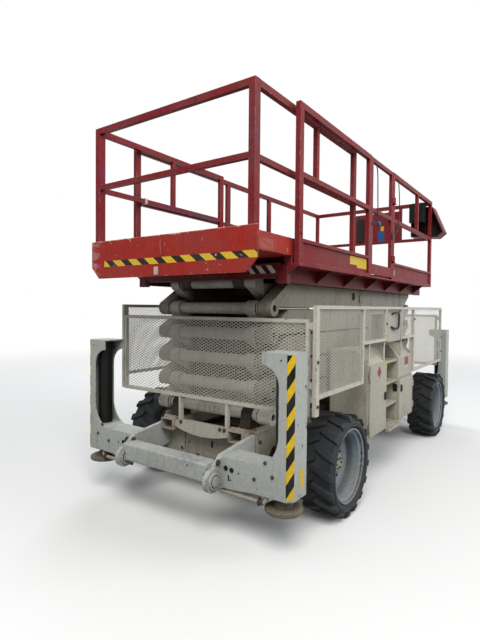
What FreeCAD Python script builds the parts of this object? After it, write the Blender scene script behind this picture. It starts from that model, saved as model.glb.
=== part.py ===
import FreeCAD, Part
import math
import os

os.makedirs("parts", exist_ok=True)

# Rough-terrain scissor lift, stowed, with its roll-out deck pulled out half a metre.
# Millimetres. X is across the machine, +Y runs from the roll-out deck's end to the
# steered end, +Z is up, and the origin is on the ground at the middle of the machine.

V = FreeCAD.Vector
FIT = 0.05        # radial clearance of a pin or rod in its bore
SEAT = 0.3        # gap between faces that slide or roll on one another
SWING = 6.0       # gap between pieces that pass one another

# Wheels
TYRE_R = 420.0
TREAD_DEPTH = 30.0
TYRE_INNER_X, TYRE_OUTER_X = 805.0, 1130.0
RIM_R = 300.0
RIM_FACE_X = 1111.0
RIM_DISC_X = 950.0
RIM_INNER_X = 835.0
HUB_R = 88.0
SPINDLE_R = 50.0
LUGS_PER_SIDE = 17
FIXED_AXLE_Y, STEER_AXLE_Y = -1472.0, 1574.0
AXLE_R = 78.0
KINGPIN_X, KINGPIN_R = 720.0, 22.0

# Chassis tray between the wheels
FRAME_HALF_W = 500.0
FRAME_END_Y = 1960.0
FRAME_LOW_Z, FRAME_TOP_Z = 520.0, 690.0
FRAME_WALL = 12.0
END_PLATE_LOW_Z = 350.0

# Outrigger towers, at the four corners
TOWER_FRONT_Y, TOWER_DEPTH = 2410.0, 215.0
TOWER_OUTER_X = 1079.0
TOWER_LIP_X, TOWER_SLOT_X = 839.0, 975.0
TOWER_LOW_Z, TOWER_TOP_Z = 409.0, 1411.0
TOWER_PLATE = 10.0
TOWER_CHAMFER = 34.0
BOOM_TOP_Z = 620.0
LEG_X = 962.0
LEG_BARREL_R, LEG_ROD_R = 62.0, 40.0
LEG_BARREL_LOW_Z, LEG_BARREL_TOP_Z = 400.0, 1385.0
PAD_R, PAD_LOW_Z, PAD_TOP_Z = 135.0, 300.0, 380.0
CHEEK_X, CHEEK_T = 471.0, 40.0
PIVOT_Y, PIVOT_Z, PIVOT_R = 2497.0, 460.0, 85.0
CAP_R, CAP_HALF_X = 61.0, 36.0
CROSS_BEAM_H = 140.0

# Scissor stack: five crossing pairs, each LEVEL_PITCH higher than the one below
LEVELS = 5
SLIDING_Y, FIXED_Y = -1890.0, 1810.0
FIRST_PIN_Z, LEVEL_PITCH = 825.0, 221.3
ARM_H = 200.0
OUTER_ARM_X = (500.0, 620.0)
INNER_ARM_X = (370.0, 470.0)
TUBE_R = 50.0
BOSS_R = 66.0
CENTRE_PIN_R = 40.0
ARM_CUT = 215.0
ARM_HOLE_Y, ARM_HOLE_RISE, ARM_HOLE_R = -238.0, 24.0, 45.0
BLOCK_X = (340.0, 440.0)
TOP_BLOCK_X = (240.0, 340.0)
BLOCK_R = 62.0
BLOCK_HALF_Y = 80.0

# Slide channels for the lowest pair
CHANNEL_X = (308.0, 449.0)
CHANNEL_TOP_Z, CHANNEL_H, CHANNEL_WALL = 712.0, 95.0, 7.0
CHANNEL_END_Y, CHANNEL_BACK_Y = -2090.0, -250.0
ANGLE_X = (CHANNEL_X[1] - 1, 516.0)

# Lift cylinders, one in levels 1 and 2, one in levels 3 and 4
BARREL_FROM_CENTRE, ROD_FROM_CENTRE = 1500.0, 1400.0
BARREL_PIN_RISE = 22.0      # off the line of the arm's own pins
CYLINDER_R, ROD_R = 80.0, 50.0
BARREL_LENGTH = 2050.0
EYE_R, EYE_HALF_X, EYE_BORE_R = 70.0, 46.0, 38.0
LUG_GAP, LUG_T = 12.0, 22.0

# Platform
DECK_HALF_W = 905.0
DECK_NEAR_Y, DECK_FAR_Y = -2018.0, 1969.0
DECK_LOW_Z, DECK_PLATE = 2033.0, 15.0
TOE_TOP_Z, TOE_T = DECK_LOW_Z + 207.0, 12.0
TOE_RECESS, TOE_FOOT_H, TOE_LIP_H = 18.0, 36.0, 26.0
UNDER_FRAME_X, UNDER_FRAME_LOW_Z = DECK_HALF_W - 155.0, 1915.0
RAIL_TOP_Z, RAIL_H, RAIL_T = 3250.0, 50.0, 40.0
MID_RAIL_Z = DECK_LOW_Z + 0.548 * (RAIL_TOP_Z - DECK_LOW_Z)
POST_W = 58.0
GATE_Y = (-500.0, 180.0)
EXT_END_Y, EXT_BACK_Y = -2525.0, -740.0
EXT_FLOOR_Z, EXT_PLATE = 2110.0, 14.0
KICK_HALF_W = DECK_HALF_W - 37.0
KICK_LOW_Z, KICK_TOP_Z, KICK_T = 1954.0, 2273.0, 12.0

# Guards and cabinets
GUARD_X = 1060.0
GUARD_TUBE = 30.0
MESH_T = 3.5
GUARD_TOP_Z = 1737.0
END_GUARD_HALF_W, END_GUARD_Z = 1007.0, (915.0, 1635.0)
END_GUARD_Y = 2025.0
CABINET_OUTER_X, CABINET_INNER_X = 1044.0, 665.0
CABINET_LOW_Z, CABINET_FRONT_TOP_Z, CABINET_TOP_Z = 500.0, 1185.0, 1320.0
CABINET_WALL = 14.0
CABINET_SLOPE_X = 930.0
DOOR_T = 16.0
LADDER_X = 870.0
LINK_Z = (540.0, 615.0)
NEAR_CABINET_Y, FAR_CABINET_Y = (-910.0, -420.0), (10.0, 540.0)


# Shapes
def box(x, y, z):
    """A box from three (low, high) pairs."""
    low = V(min(x), min(y), min(z))
    return Part.makeBox(abs(x[1] - x[0]), abs(y[1] - y[0]), abs(z[1] - z[0]), low)


def round_x(x, y, z, r):
    return Part.makeCylinder(r, x[1] - x[0], V(x[0], y, z), V(1, 0, 0))


def round_y(x, y, z, r):
    return Part.makeCylinder(r, y[1] - y[0], V(x, y[0], z), V(0, 1, 0))


def round_z(x, y, z, r):
    return Part.makeCylinder(r, z[1] - z[0], V(x, y, z[0]), V(0, 0, 1))


def outline(points, place):
    """A closed wire. A point of three values ends an arc that passes through its third."""
    edges, last = [], points[-1]
    for point in points:
        a, b = place(*last[:2]), place(*point[:2])
        if len(point) == 3:
            edges.append(Part.Arc(a, place(*point[2]), b).toShape())
        else:
            edges.append(Part.LineSegment(a, b).toShape())
        last = point
    return Part.Wire(edges)


def plate_yz(points, x):
    """A (y, z) outline thickened from x[0] to x[1]."""
    wire = outline(points, lambda y, z: V(x[0], y, z))
    return Part.Face(wire).extrude(V(x[1] - x[0], 0, 0))


def plate_xz(points, y):
    """An (x, z) outline thickened from y[0] to y[1]."""
    wire = outline(points, lambda x, z: V(x, y[0], z))
    return Part.Face(wire).extrude(V(0, y[1] - y[0], 0))


def plate_xy(points, z):
    """An (x, y) outline thickened from z[0] to z[1]."""
    wire = outline(points, lambda x, y: V(x, y, z[0]))
    return Part.Face(wire).extrude(V(0, 0, z[1] - z[0]))


def turned_x(points, y, z):
    """An (x, radius) outline turned round the line through y and z along X."""
    wire = outline(points, lambda x, r: V(x, y, z + r))
    return Part.Face(wire).revolve(V(0, y, z), V(1, 0, 0), 360)


def turned_z(points, x, y):
    """A (radius, z) outline turned round the upright line through x and y."""
    wire = outline(points, lambda r, z: V(x + r, y, z))
    return Part.Face(wire).revolve(V(x, y, 0), V(0, 0, 1), 360)


def joined(shapes):
    return shapes[0].multiFuse(shapes[1:]).removeSplitter() if len(shapes) > 1 else shapes[0]


def mirror_x(shape):
    return shape.mirror(V(0, 0, 0), V(1, 0, 0))


def mirror_y(shape):
    return shape.mirror(V(0, 0, 0), V(0, 1, 0))


def both_sides(shape):
    return [shape, mirror_x(shape)]


def moved(shape, x=0.0, y=0.0, z=0.0):
    copy = shape.copy()
    copy.translate(V(x, y, z))
    return copy


def save(node, shapes):
    """Writes one node. A list stays as solids that don't touch."""
    if isinstance(shapes, list):
        shapes = Part.makeCompound([solid for shape in shapes for solid in shape.Solids])
    elif len(shapes.Solids) == 1:
        shapes = shapes.Solids[0]
    shapes.exportStep(f"parts/{node}.step")


# Wheels
def tyre_shape(axle_y):
    """Carcass with flat bar lugs that lean from the shoulders to the middle of the tread."""
    tread_r = TYRE_R - TREAD_DEPTH
    bead_r = RIM_R - 12
    inner, outer = TYRE_INNER_X, TYRE_OUTER_X
    middle = (inner + outer) / 2
    shoulder = 26.0
    bead = (RIM_INNER_X + 15, RIM_FACE_X - 13)
    carcass = turned_x(
        [(bead[0], bead_r), (bead[0], RIM_R + 8), (inner + 4, RIM_R + 26), (inner, tread_r - 36),
         (inner + shoulder, tread_r - 3), (outer - shoulder, tread_r - 3), (outer, tread_r - 36),
         (outer - 4, RIM_R + 26), (bead[1], RIM_R + 8), (bead[1], bead_r)],
        axle_y, TYRE_R)
    lug_w, lean = 50.0, 58.0
    lug_z = (tread_r - 18, math.sqrt(TYRE_R ** 2 - lean ** 2))
    lugs = []
    for side in (1, -1):
        edge = middle + side * ((outer - inner) / 2 - 4)
        heart = middle - side * 8
        lug = plate_xy(
            [(heart, lean), (heart, lean - lug_w * 0.8), (edge - side * 60, lug_w * 0.4 - lean),
             (edge, -lean), (edge, lug_w - lean), (edge - side * 50, lug_w * 1.4 - lean)], lug_z)
        slope = [(edge + side, lug_z[1] - 22), (edge + side, lug_z[1] + 1), (edge - side * 18, lug_z[1] + 1)]
        lug = moved(lug.cut(plate_xz(slope, (-lean - 1, lean + 1))), y=axle_y, z=TYRE_R)
        for step in range(LUGS_PER_SIDE):
            turned = lug.copy()
            turned.rotate(V(0, axle_y, TYRE_R), V(1, 0, 0), 360.0 * (step + (0.5 if side < 0 else 0.0)) / LUGS_PER_SIDE)
            lugs.append(turned)
    return joined([carcass] + lugs)


def rim_shape(axle_y):
    """Deep dished rim: flanges, stepped barrel, disc and a hub bored for the spindle."""
    skin = 9.0
    low = RIM_R - 30
    face, disc, back = RIM_FACE_X, RIM_DISC_X, RIM_INNER_X
    points = [
        (back, RIM_R), (back, RIM_R - 12), (back + 22, low - skin),
        (disc - 8, low - skin), (disc - 8, HUB_R + 4), (disc - 60, HUB_R + 4),
        (disc - 60, SPINDLE_R + FIT), (disc + 6, SPINDLE_R + FIT), (disc + 6, 0.0),
        (disc + 58, 0.0), (disc + 58, HUB_R - 26), (disc + 40, HUB_R),
        (disc + 14, HUB_R + 2), (disc + 14, HUB_R + 62), (disc + 30, HUB_R + 92),
        (disc + 30, low - 26), (disc + 66, low - skin - 4), (face - 34, low - skin + 6),
        (face - 22, RIM_R - 14), (face, RIM_R - 8), (face, RIM_R + 6),
        (face - 9, RIM_R + 6), (face - 12, RIM_R - 12 - FIT * 4),
        (face - 24, RIM_R - 12 - FIT * 4), (face - 38, low + 12),
        (back + 34, low + 12), (back + 24, RIM_R - 12 - FIT * 4),
        (back + 14, RIM_R - 12 - FIT * 4), (back + 10, RIM_R)]
    return turned_x(points, axle_y, TYRE_R)


tyre = {}
rim = {}
for end, axle_y in (("fixed", FIXED_AXLE_Y), ("steer", STEER_AXLE_Y)):
    if end == "fixed":
        right_tyre, right_rim = tyre_shape(axle_y), rim_shape(axle_y)
    else:
        right_tyre = moved(tyre["fixed_right"], y=STEER_AXLE_Y - FIXED_AXLE_Y)
        right_rim = moved(rim["fixed_right"], y=STEER_AXLE_Y - FIXED_AXLE_Y)
    tyre[f"{end}_right"], rim[f"{end}_right"] = right_tyre, right_rim
    tyre[f"{end}_left"], rim[f"{end}_left"] = mirror_x(right_tyre), mirror_x(right_rim)
for place in tyre:
    save(f"tyre_{place}", tyre[place])
    save(f"rim_{place}", rim[place])

# Axles: a drive axle bolted under the tray, and a steered axle with two knuckles
pad_x = (300.0, 430.0)
spindle_x = (RIM_DISC_X - 130.0, RIM_DISC_X + 6 - SEAT)


def axle_shape(axle_y, tube_end_x):
    """Axle tube with the drive housing at its middle and two pads under the tray."""
    parts = [
        round_x((-tube_end_x, tube_end_x), axle_y, TYRE_R, AXLE_R),
        turned_x([(-170, 0), (-170, AXLE_R + 6), (-90, 148), (90, 148), (170, AXLE_R + 6), (170, 0)],
                 axle_y, TYRE_R),
        round_y(0, (axle_y + 60, axle_y + 230), TYRE_R + 10, 62)]
    for low, high in (pad_x, (-pad_x[1], -pad_x[0])):
        parts.append(box((low, high), (axle_y - 110, axle_y + 110), (TYRE_R + 40, FRAME_LOW_Z)))
    return parts


drive_axle = axle_shape(FIXED_AXLE_Y, RIM_DISC_X - 130)
for side in (1, -1):
    ends = sorted((side * spindle_x[0], side * spindle_x[1]))
    drive_axle.append(round_x(ends, FIXED_AXLE_Y, TYRE_R, SPINDLE_R))
save("drive_axle", joined(drive_axle))

ear_z = ((TYRE_R - 120, TYRE_R - 84), (TYRE_R + 84, TYRE_R + 120))
fork_x = (KINGPIN_X - 52, KINGPIN_X + 45)
steer_axle = axle_shape(STEER_AXLE_Y, KINGPIN_X - 90)
for side in (1, -1):
    web = sorted((side * (KINGPIN_X - 110), side * (KINGPIN_X - 78)))
    steer_axle.append(box(web, (STEER_AXLE_Y - 55, STEER_AXLE_Y + 55), (ear_z[0][0], ear_z[1][1])))
    for low, high in ear_z:
        reach = sorted((side * (KINGPIN_X - 100), side * KINGPIN_X))
        steer_axle.append(box(reach, (STEER_AXLE_Y - 45, STEER_AXLE_Y + 45), (low, high)))
        steer_axle.append(round_z(side * KINGPIN_X, STEER_AXLE_Y, (low, high), 45))
    steer_axle.append(round_z(side * KINGPIN_X, STEER_AXLE_Y, (ear_z[0][0], ear_z[1][1]), KINGPIN_R))
save("steer_axle", joined(steer_axle))

# Knuckle: a hollow upright between the ears, the spindle, and an arm for the steering ram
upright = round_z(KINGPIN_X, STEER_AXLE_Y, (ear_z[0][1] + SEAT, ear_z[1][0] - SEAT), 44)
knuckle = joined([
    upright,
    round_x((KINGPIN_X + 20, spindle_x[0] + 5), STEER_AXLE_Y, TYRE_R, 66),
    round_x((KINGPIN_X + 30, spindle_x[1]), STEER_AXLE_Y, TYRE_R, SPINDLE_R),
    box((KINGPIN_X - 30, KINGPIN_X + 20), (STEER_AXLE_Y - 190, STEER_AXLE_Y), (TYRE_R - 70, TYRE_R - 45))])
knuckle = knuckle.cut(round_z(KINGPIN_X, STEER_AXLE_Y, (ear_z[0][0], ear_z[1][1]), KINGPIN_R + FIT))
save("knuckle_right", knuckle)
save("knuckle_left", mirror_x(knuckle))

# Chassis: an open tray with deep end plates, cross members and the lugs of the lowest pair
inside = FRAME_HALF_W - FRAME_WALL
tray = box((-FRAME_HALF_W, FRAME_HALF_W), (-FRAME_END_Y, FRAME_END_Y), (FRAME_LOW_Z, FRAME_TOP_Z))
tray = tray.cut(box((-inside, inside), (-FRAME_END_Y + FRAME_WALL, FRAME_END_Y - FRAME_WALL),
                    (FRAME_LOW_Z + FRAME_WALL, FRAME_TOP_Z + 1)))
chassis = [tray]
for end in (1, -1):
    face = sorted((end * (FRAME_END_Y - FRAME_WALL), end * FRAME_END_Y))
    chassis.append(box((-FRAME_HALF_W, FRAME_HALF_W), face, (END_PLATE_LOW_Z, FRAME_LOW_Z)))
    for side in (1, -1):
        wing_x = sorted((side * inside, side * FRAME_HALF_W))
        wing = [(end * FRAME_END_Y, END_PLATE_LOW_Z), (end * (FRAME_END_Y - 90), END_PLATE_LOW_Z),
                (end * (FRAME_END_Y - 260), FRAME_LOW_Z), (end * FRAME_END_Y, FRAME_LOW_Z)]
        chassis.append(plate_yz(wing, wing_x))
channel_low_z = CHANNEL_TOP_Z - CHANNEL_H
for member_y in (-1750.0, -1020.0, -300.0):
    chassis.append(box((-inside, inside), (member_y - 30, member_y + 30),
                       (channel_low_z - 60, channel_low_z)))
chassis.append(box((-inside, inside), (820.0, 880.0), (FRAME_LOW_Z, FRAME_TOP_Z)))
for side in (1, -1):
    lug_x = sorted((side * TOP_BLOCK_X[0], side * TOP_BLOCK_X[1]))
    lug = [(FIXED_Y - BLOCK_R, FRAME_LOW_Z + 2), (FIXED_Y + BLOCK_R, FRAME_LOW_Z + 2),
           (FIXED_Y + BLOCK_R, FIRST_PIN_Z),
           (FIXED_Y - BLOCK_R, FIRST_PIN_Z, (FIXED_Y, FIRST_PIN_Z + BLOCK_R))]
    chassis.append(plate_yz(lug, lug_x))
for side, link_y, link_end in (
        (1, NEAR_CABINET_Y, CABINET_INNER_X), (1, FAR_CABINET_Y, CABINET_INNER_X),
        (1, (NEAR_CABINET_Y[1] + 10, FAR_CABINET_Y[0] - 10), LADDER_X),
        (-1, (NEAR_CABINET_Y[0], FAR_CABINET_Y[1]), CABINET_INNER_X)):
    link_x = sorted((side * inside, side * (link_end - SEAT)))
    chassis.append(box(link_x, (link_y[0] + 50, link_y[1] - 50), LINK_Z))
chassis = joined(chassis)
chassis = chassis.cut(round_x((-400, 400), FIXED_Y, FIRST_PIN_Z, TUBE_R + FIT))
for axle_y in (FIXED_AXLE_Y, STEER_AXLE_Y):
    chassis = chassis.cut(box((-185, 185), (axle_y - 160, axle_y + 160), (FRAME_LOW_Z - 1, FRAME_LOW_Z + 13)))
for side in (1, -1):
    notch = sorted((side * (CHANNEL_X[0]), side * (CHANNEL_X[1])))
    chassis = chassis.cut(box(notch, (-FRAME_END_Y - 1, -FRAME_END_Y + FRAME_WALL + 1),
                              (channel_low_z, FRAME_TOP_Z + 1)))
save("chassis", chassis)

# Slide channels and the bowed plate that ties their ends
channels = []
for side in (1, -1):
    low, high = CHANNEL_X
    c_outline = [(low, channel_low_z), (high, channel_low_z), (high, CHANNEL_TOP_Z), (low, CHANNEL_TOP_Z)]
    hollow = [(low + CHANNEL_WALL, channel_low_z + CHANNEL_WALL),
              (high - CHANNEL_WALL, channel_low_z + CHANNEL_WALL),
              (high - CHANNEL_WALL, CHANNEL_TOP_Z - CHANNEL_WALL),
              (low + CHANNEL_WALL, CHANNEL_TOP_Z - CHANNEL_WALL)]
    run = (CHANNEL_END_Y, CHANNEL_BACK_Y)
    channel = plate_xz(c_outline, run).cut(plate_xz(hollow, (run[0] - 1, run[1] + 1)))
    stop = box((low, high), (CHANNEL_END_Y + 40, CHANNEL_END_Y + 60), (CHANNEL_TOP_Z - 1, CHANNEL_TOP_Z + 22))
    channel = joined([channel, stop])
    channels.append(channel if side > 0 else mirror_x(channel))
    angle = [(ANGLE_X[0], FRAME_TOP_Z), (ANGLE_X[1], FRAME_TOP_Z), (ANGLE_X[1], FRAME_TOP_Z + 52),
             (ANGLE_X[1] - 8, FRAME_TOP_Z + 52), (ANGLE_X[1] - 8, FRAME_TOP_Z + 8), (ANGLE_X[0], FRAME_TOP_Z + 8)]
    angle = plate_xz(angle, (-1965.0, CHANNEL_BACK_Y))
    channels.append(angle if side > 0 else mirror_x(angle))
tie_x = CHANNEL_X[0]
tie_low = CHANNEL_TOP_Z - 62
tie = [(tie_x, CHANNEL_TOP_Z - 8), (-tie_x, CHANNEL_TOP_Z - 8), (-tie_x, tie_low),
       (tie_x, tie_low, (0, tie_low - 48))]
channels.append(plate_xz(tie, (-2062.0, -2050.0)))
channels.append(box((-tie_x, tie_x), (-2062.0, -1975.0), (CHANNEL_TOP_Z - 20, CHANNEL_TOP_Z - 8)))
save("slide_channels", joined(channels))


# Outrigger towers: one C-shaped welded box with its boom and cheek plate
def tower_shape():
    """The right tower of the near end."""
    y = (-TOWER_FRONT_Y, -TOWER_FRONT_Y + TOWER_DEPTH)
    boom_in = CHEEK_X + CHEEK_T / 2
    profile = [
        (TOWER_OUTER_X, TOWER_LOW_Z), (TOWER_OUTER_X, TOWER_TOP_Z),
        (TOWER_LIP_X, TOWER_TOP_Z), (TOWER_LIP_X, TOWER_TOP_Z - 88),
        (TOWER_SLOT_X, TOWER_TOP_Z - 235, (TOWER_SLOT_X - 38, TOWER_TOP_Z - 132)),
        (TOWER_SLOT_X, TOWER_LOW_Z + 430),
        (TOWER_SLOT_X - 152, BOOM_TOP_Z, (TOWER_SLOT_X - 36, TOWER_LOW_Z + 306)),
        (boom_in, BOOM_TOP_Z), (boom_in, TOWER_LOW_Z - 24), (770, TOWER_LOW_Z)]
    body = plate_xz(profile, y)
    t = TOWER_PLATE
    low_x, high_x = TOWER_LIP_X - 120, TOWER_OUTER_X - t
    inner_chamfer = TOWER_CHAMFER - (2 - math.sqrt(2)) * t
    hollow = plate_xy(
        [(low_x, y[0] + t), (high_x - inner_chamfer, y[0] + t), (high_x, y[0] + t + inner_chamfer),
         (high_x, y[1] - t), (low_x, y[1] - t)], (BOOM_TOP_Z + 20, TOWER_TOP_Z - t))
    body = body.cut(hollow)
    cheek_x = (CHEEK_X - CHEEK_T / 2, CHEEK_X + CHEEK_T / 2)
    cheek = plate_yz(
        [(-PIVOT_Y, PIVOT_Z + PIVOT_R, (-PIVOT_Y - PIVOT_R, PIVOT_Z)),
         (-PIVOT_Y + 100, PIVOT_Z + 165), (-FRAME_END_Y, FRAME_TOP_Z - 10),
         (-FRAME_END_Y, PIVOT_Z), (-PIVOT_Y, PIVOT_Z - PIVOT_R)], cheek_x)
    cap = round_x((CHEEK_X - CAP_HALF_X, CHEEK_X + CAP_HALF_X), -PIVOT_Y, PIVOT_Z, CAP_R)
    corner = [(TOWER_OUTER_X - TOWER_CHAMFER, y[0] - 1), (TOWER_OUTER_X + 1, y[0] - 1),
              (TOWER_OUTER_X + 1, y[0] + TOWER_CHAMFER)]
    body = body.cut(plate_xy(corner, (TOWER_LOW_Z - 30, TOWER_TOP_Z + 1)))
    body = joined([body, cheek, cap])
    leg_y = (y[0] + y[1]) / 2
    return body.cut(round_z(LEG_X, leg_y, (TOWER_LOW_Z - 60, BOOM_TOP_Z + 30), LEG_BARREL_R + SEAT))


LEG_Y = TOWER_FRONT_Y - TOWER_DEPTH / 2
near_tower = tower_shape()
save("towers_near", both_sides(near_tower))
save("towers_far", both_sides(mirror_y(near_tower)))

beam_x = CHEEK_X - CHEEK_T / 2
beam = box((-beam_x, beam_x), (-PIVOT_Y - 33, -PIVOT_Y - 33 + CROSS_BEAM_H), (440, 440 + CROSS_BEAM_H))
beam = beam.makeFillet(14, [e for e in beam.Edges if abs(e.tangentAt(e.FirstParameter).x) > 0.9])
beam = beam.cut(round_x((-beam_x, -beam_x + 30), -PIVOT_Y, PIVOT_Z, CAP_R + SEAT))
beam = beam.cut(round_x((beam_x - 30, beam_x), -PIVOT_Y, PIVOT_Z, CAP_R + SEAT))
save("cross_beams", [beam, mirror_y(beam)])

# Outrigger legs: barrel in the tower, rod with a round foot pad
barrel = round_z(LEG_X, -LEG_Y, (LEG_BARREL_LOW_Z, LEG_BARREL_TOP_Z), LEG_BARREL_R)
barrel = joined([barrel, box((LEG_X - 50, TOWER_OUTER_X - TOWER_PLATE), (-LEG_Y - 60, -LEG_Y + 60),
                             (LEG_BARREL_TOP_Z - 60, LEG_BARREL_TOP_Z))])
barrel = barrel.cut(round_z(LEG_X, -LEG_Y, (LEG_BARREL_LOW_Z - 1, LEG_BARREL_TOP_Z - 90), LEG_ROD_R + FIT))
barrels = both_sides(barrel)
save("leg_barrels", barrels + [mirror_y(b) for b in barrels])

leg = turned_z(
    [(0, PAD_LOW_Z), (PAD_R - 6, PAD_LOW_Z), (PAD_R, PAD_LOW_Z + 8), (PAD_R, PAD_LOW_Z + 26),
     (PAD_R - 16, PAD_LOW_Z + 34), (LEG_ROD_R + 26, PAD_LOW_Z + 40), (LEG_ROD_R + 10, PAD_TOP_Z),
     (LEG_ROD_R, PAD_TOP_Z), (LEG_ROD_R, LEG_BARREL_TOP_Z - 150), (0, LEG_BARREL_TOP_Z - 150)],
    LEG_X, -LEG_Y)
save("leg_near_right", leg)
save("leg_near_left", mirror_x(leg))
save("leg_far_right", mirror_y(leg))
save("leg_far_left", mirror_x(mirror_y(leg)))

# Scissor arms, level by level from the lowest
MIDDLE_Y = (SLIDING_Y + FIXED_Y) / 2
HALF_RUN = (FIXED_Y - SLIDING_Y) / 2
ARM_SLOPE = math.atan2(LEVEL_PITCH, 2 * HALF_RUN)
TIES_FROM_CENTRE = (-1050.0, 1180.0)
TIE_R = 34.0


def pin_z(level):
    """Height of the pins above the given number of pairs."""
    return FIRST_PIN_Z + LEVEL_PITCH * level


def arm_plate(level, x, rising):
    """One arm. Its pins sit at opposite edges, so that arms lie flat on one another.
    A rising arm has its low pin at the sliding end."""
    middle = (pin_z(level - 1) + pin_z(level)) / 2
    up = 1 if rising else -1
    h = ARM_H / 2
    pin = LEVEL_PITCH / 2
    near, far = -HALF_RUN, HALF_RUN

    def at(y, z):
        return (MIDDLE_Y + y, middle + up * z)

    points = [
        at(near - BOSS_R * 0.7, -pin + BOSS_R * 0.7), at(near + ARM_CUT, h),
        at(far, h), at(far + BOSS_R * 0.7, pin - BOSS_R * 0.7), at(far - ARM_CUT, -h), at(near, -h)]
    arm = plate_yz(points, x)
    bosses = [round_x(x, *at(end, lift), BOSS_R) for end, lift in ((near, -pin), (far, pin))]
    return joined([arm] + bosses)


def cylinder_ends(level):
    """Barrel pin and rod pin of the cylinder whose barrel hangs in this level's inner pair."""
    drop = math.sin(ARM_SLOPE)
    along = math.cos(ARM_SLOPE)
    middle = pin_z(level - 1) + LEVEL_PITCH / 2
    barrel_pin = (MIDDLE_Y + BARREL_FROM_CENTRE * along + BARREL_PIN_RISE * drop,
                  middle - BARREL_FROM_CENTRE * drop + BARREL_PIN_RISE * along)
    rod_pin = (MIDDLE_Y - ROD_FROM_CENTRE * along, middle + LEVEL_PITCH - ROD_FROM_CENTRE * drop)
    return barrel_pin, rod_pin


for level in range(1, LEVELS + 1):
    middle = pin_z(level - 1) + LEVEL_PITCH / 2
    low_pin, high_pin = pin_z(level - 1), pin_z(level)

    # The outer pair carries the tubes through both ends, and the centre pins
    outer = both_sides(arm_plate(level, OUTER_ARM_X, True))
    tube_x = (-OUTER_ARM_X[0] - 40, OUTER_ARM_X[0] + 40)
    outer += [round_x(tube_x, SLIDING_Y, low_pin, TUBE_R), round_x(tube_x, FIXED_Y, high_pin, TUBE_R)]
    centre_pin = round_x((INNER_ARM_X[0] - 12, OUTER_ARM_X[1] + 10), MIDDLE_Y, middle, CENTRE_PIN_R)
    outer += both_sides(centre_pin)
    if level in (2, 4):
        lug_pin = cylinder_ends(level - 1)[1]
        for side in (1, -1):
            lug_x = sorted((side * (EYE_HALF_X + LUG_GAP), side * (EYE_HALF_X + LUG_GAP + LUG_T)))
            reach = lug_pin[0]
            outer.append(plate_yz([(SLIDING_Y, low_pin - TUBE_R + 4), (reach, lug_pin[1] - 45),
                                   (reach, lug_pin[1] + 45, (reach + 45, lug_pin[1])),
                                   (SLIDING_Y, low_pin + TUBE_R - 4)], lug_x))
    outer = joined(outer)
    for y, z in ((SLIDING_Y, low_pin), (FIXED_Y, high_pin)):
        for side in (1, -1):
            socket = sorted((side * (OUTER_ARM_X[1] - 30), side * (OUTER_ARM_X[1] + 1)))
            outer = outer.cut(round_x(socket, y, z, TUBE_R - 22))
    if level == LEVELS:
        for side in (1, -1):
            hole = sorted((side * (OUTER_ARM_X[1] - 25), side * (OUTER_ARM_X[1] + 1)))
            outer = outer.cut(round_x(hole, ARM_HOLE_Y, middle + ARM_HOLE_RISE, ARM_HOLE_R))
    save(f"outer_arms_{level}", outer)

    # The inner pair turns on those tubes and pins, and is tied by two cross tubes
    inner = both_sides(arm_plate(level, INNER_ARM_X, False))
    slope = -LEVEL_PITCH / (2 * HALF_RUN)
    ties = [(MIDDLE_Y + along, middle + slope * along) for along in TIES_FROM_CENTRE]
    if level in (1, 3):
        ties = [cylinder_ends(level)[0]]
    for tie_y, tie_z in ties:
        inner.append(round_x((-INNER_ARM_X[0] - 20, INNER_ARM_X[0] + 20), tie_y, tie_z, TIE_R))
    pair = joined(inner)
    turning = []
    if level > 1:
        turning.append((FIXED_Y, low_pin, TUBE_R + FIT))
    if level < LEVELS:
        turning.append((SLIDING_Y, high_pin, TUBE_R + FIT))
    turning.append((MIDDLE_Y, middle, CENTRE_PIN_R + FIT))
    for y, z, r in turning:
        for low, high in (INNER_ARM_X, (-INNER_ARM_X[1], -INNER_ARM_X[0])):
            pair = pair.cut(round_x((low - 5, high + 5), y, z, r))
    own = []
    if level == 1:
        own.append((FIXED_Y, low_pin))
    if level == LEVELS:
        own.append((SLIDING_Y, high_pin))
    tubes = [round_x((-INNER_ARM_X[0] - 20, INNER_ARM_X[0] + 20), y, z, TUBE_R) for y, z in own]
    save(f"inner_arms_{level}", joined([pair] + tubes))

# Lift cylinders: the barrel swings on a cross tube, the rod's eye sits between two lugs
for name, level in (("lower", 1), ("upper", 3)):
    (by, bz), (ry, rz) = cylinder_ends(level)
    span = math.hypot(ry - by, rz - bz)
    direction = V(0, (ry - by) / span, (rz - bz) / span)

    def along_cylinder(distance, length, r):
        return Part.makeCylinder(r, length, V(0, by, bz) + direction * distance, direction)

    collar = round_x((-70, 70), by, bz, 62)
    barrel = joined([collar, along_cylinder(48, BARREL_LENGTH - 48, CYLINDER_R),
                     along_cylinder(BARREL_LENGTH - 70, 70, CYLINDER_R + 9)])
    barrel = barrel.cut(round_x((-90, 90), by, bz, TIE_R + FIT))
    barrel = barrel.cut(along_cylinder(620, BARREL_LENGTH, ROD_R + FIT))
    save(f"lift_barrel_{name}", barrel)
    rod = joined([along_cylinder(760, span - 760 - EYE_R + 20, ROD_R),
                  round_x((-EYE_HALF_X, EYE_HALF_X), ry, rz, EYE_R)])
    rod = rod.cut(round_x((-EYE_HALF_X - 5, EYE_HALF_X + 5), ry, rz, EYE_BORE_R))
    save(f"lift_rod_{name}", rod)


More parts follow.
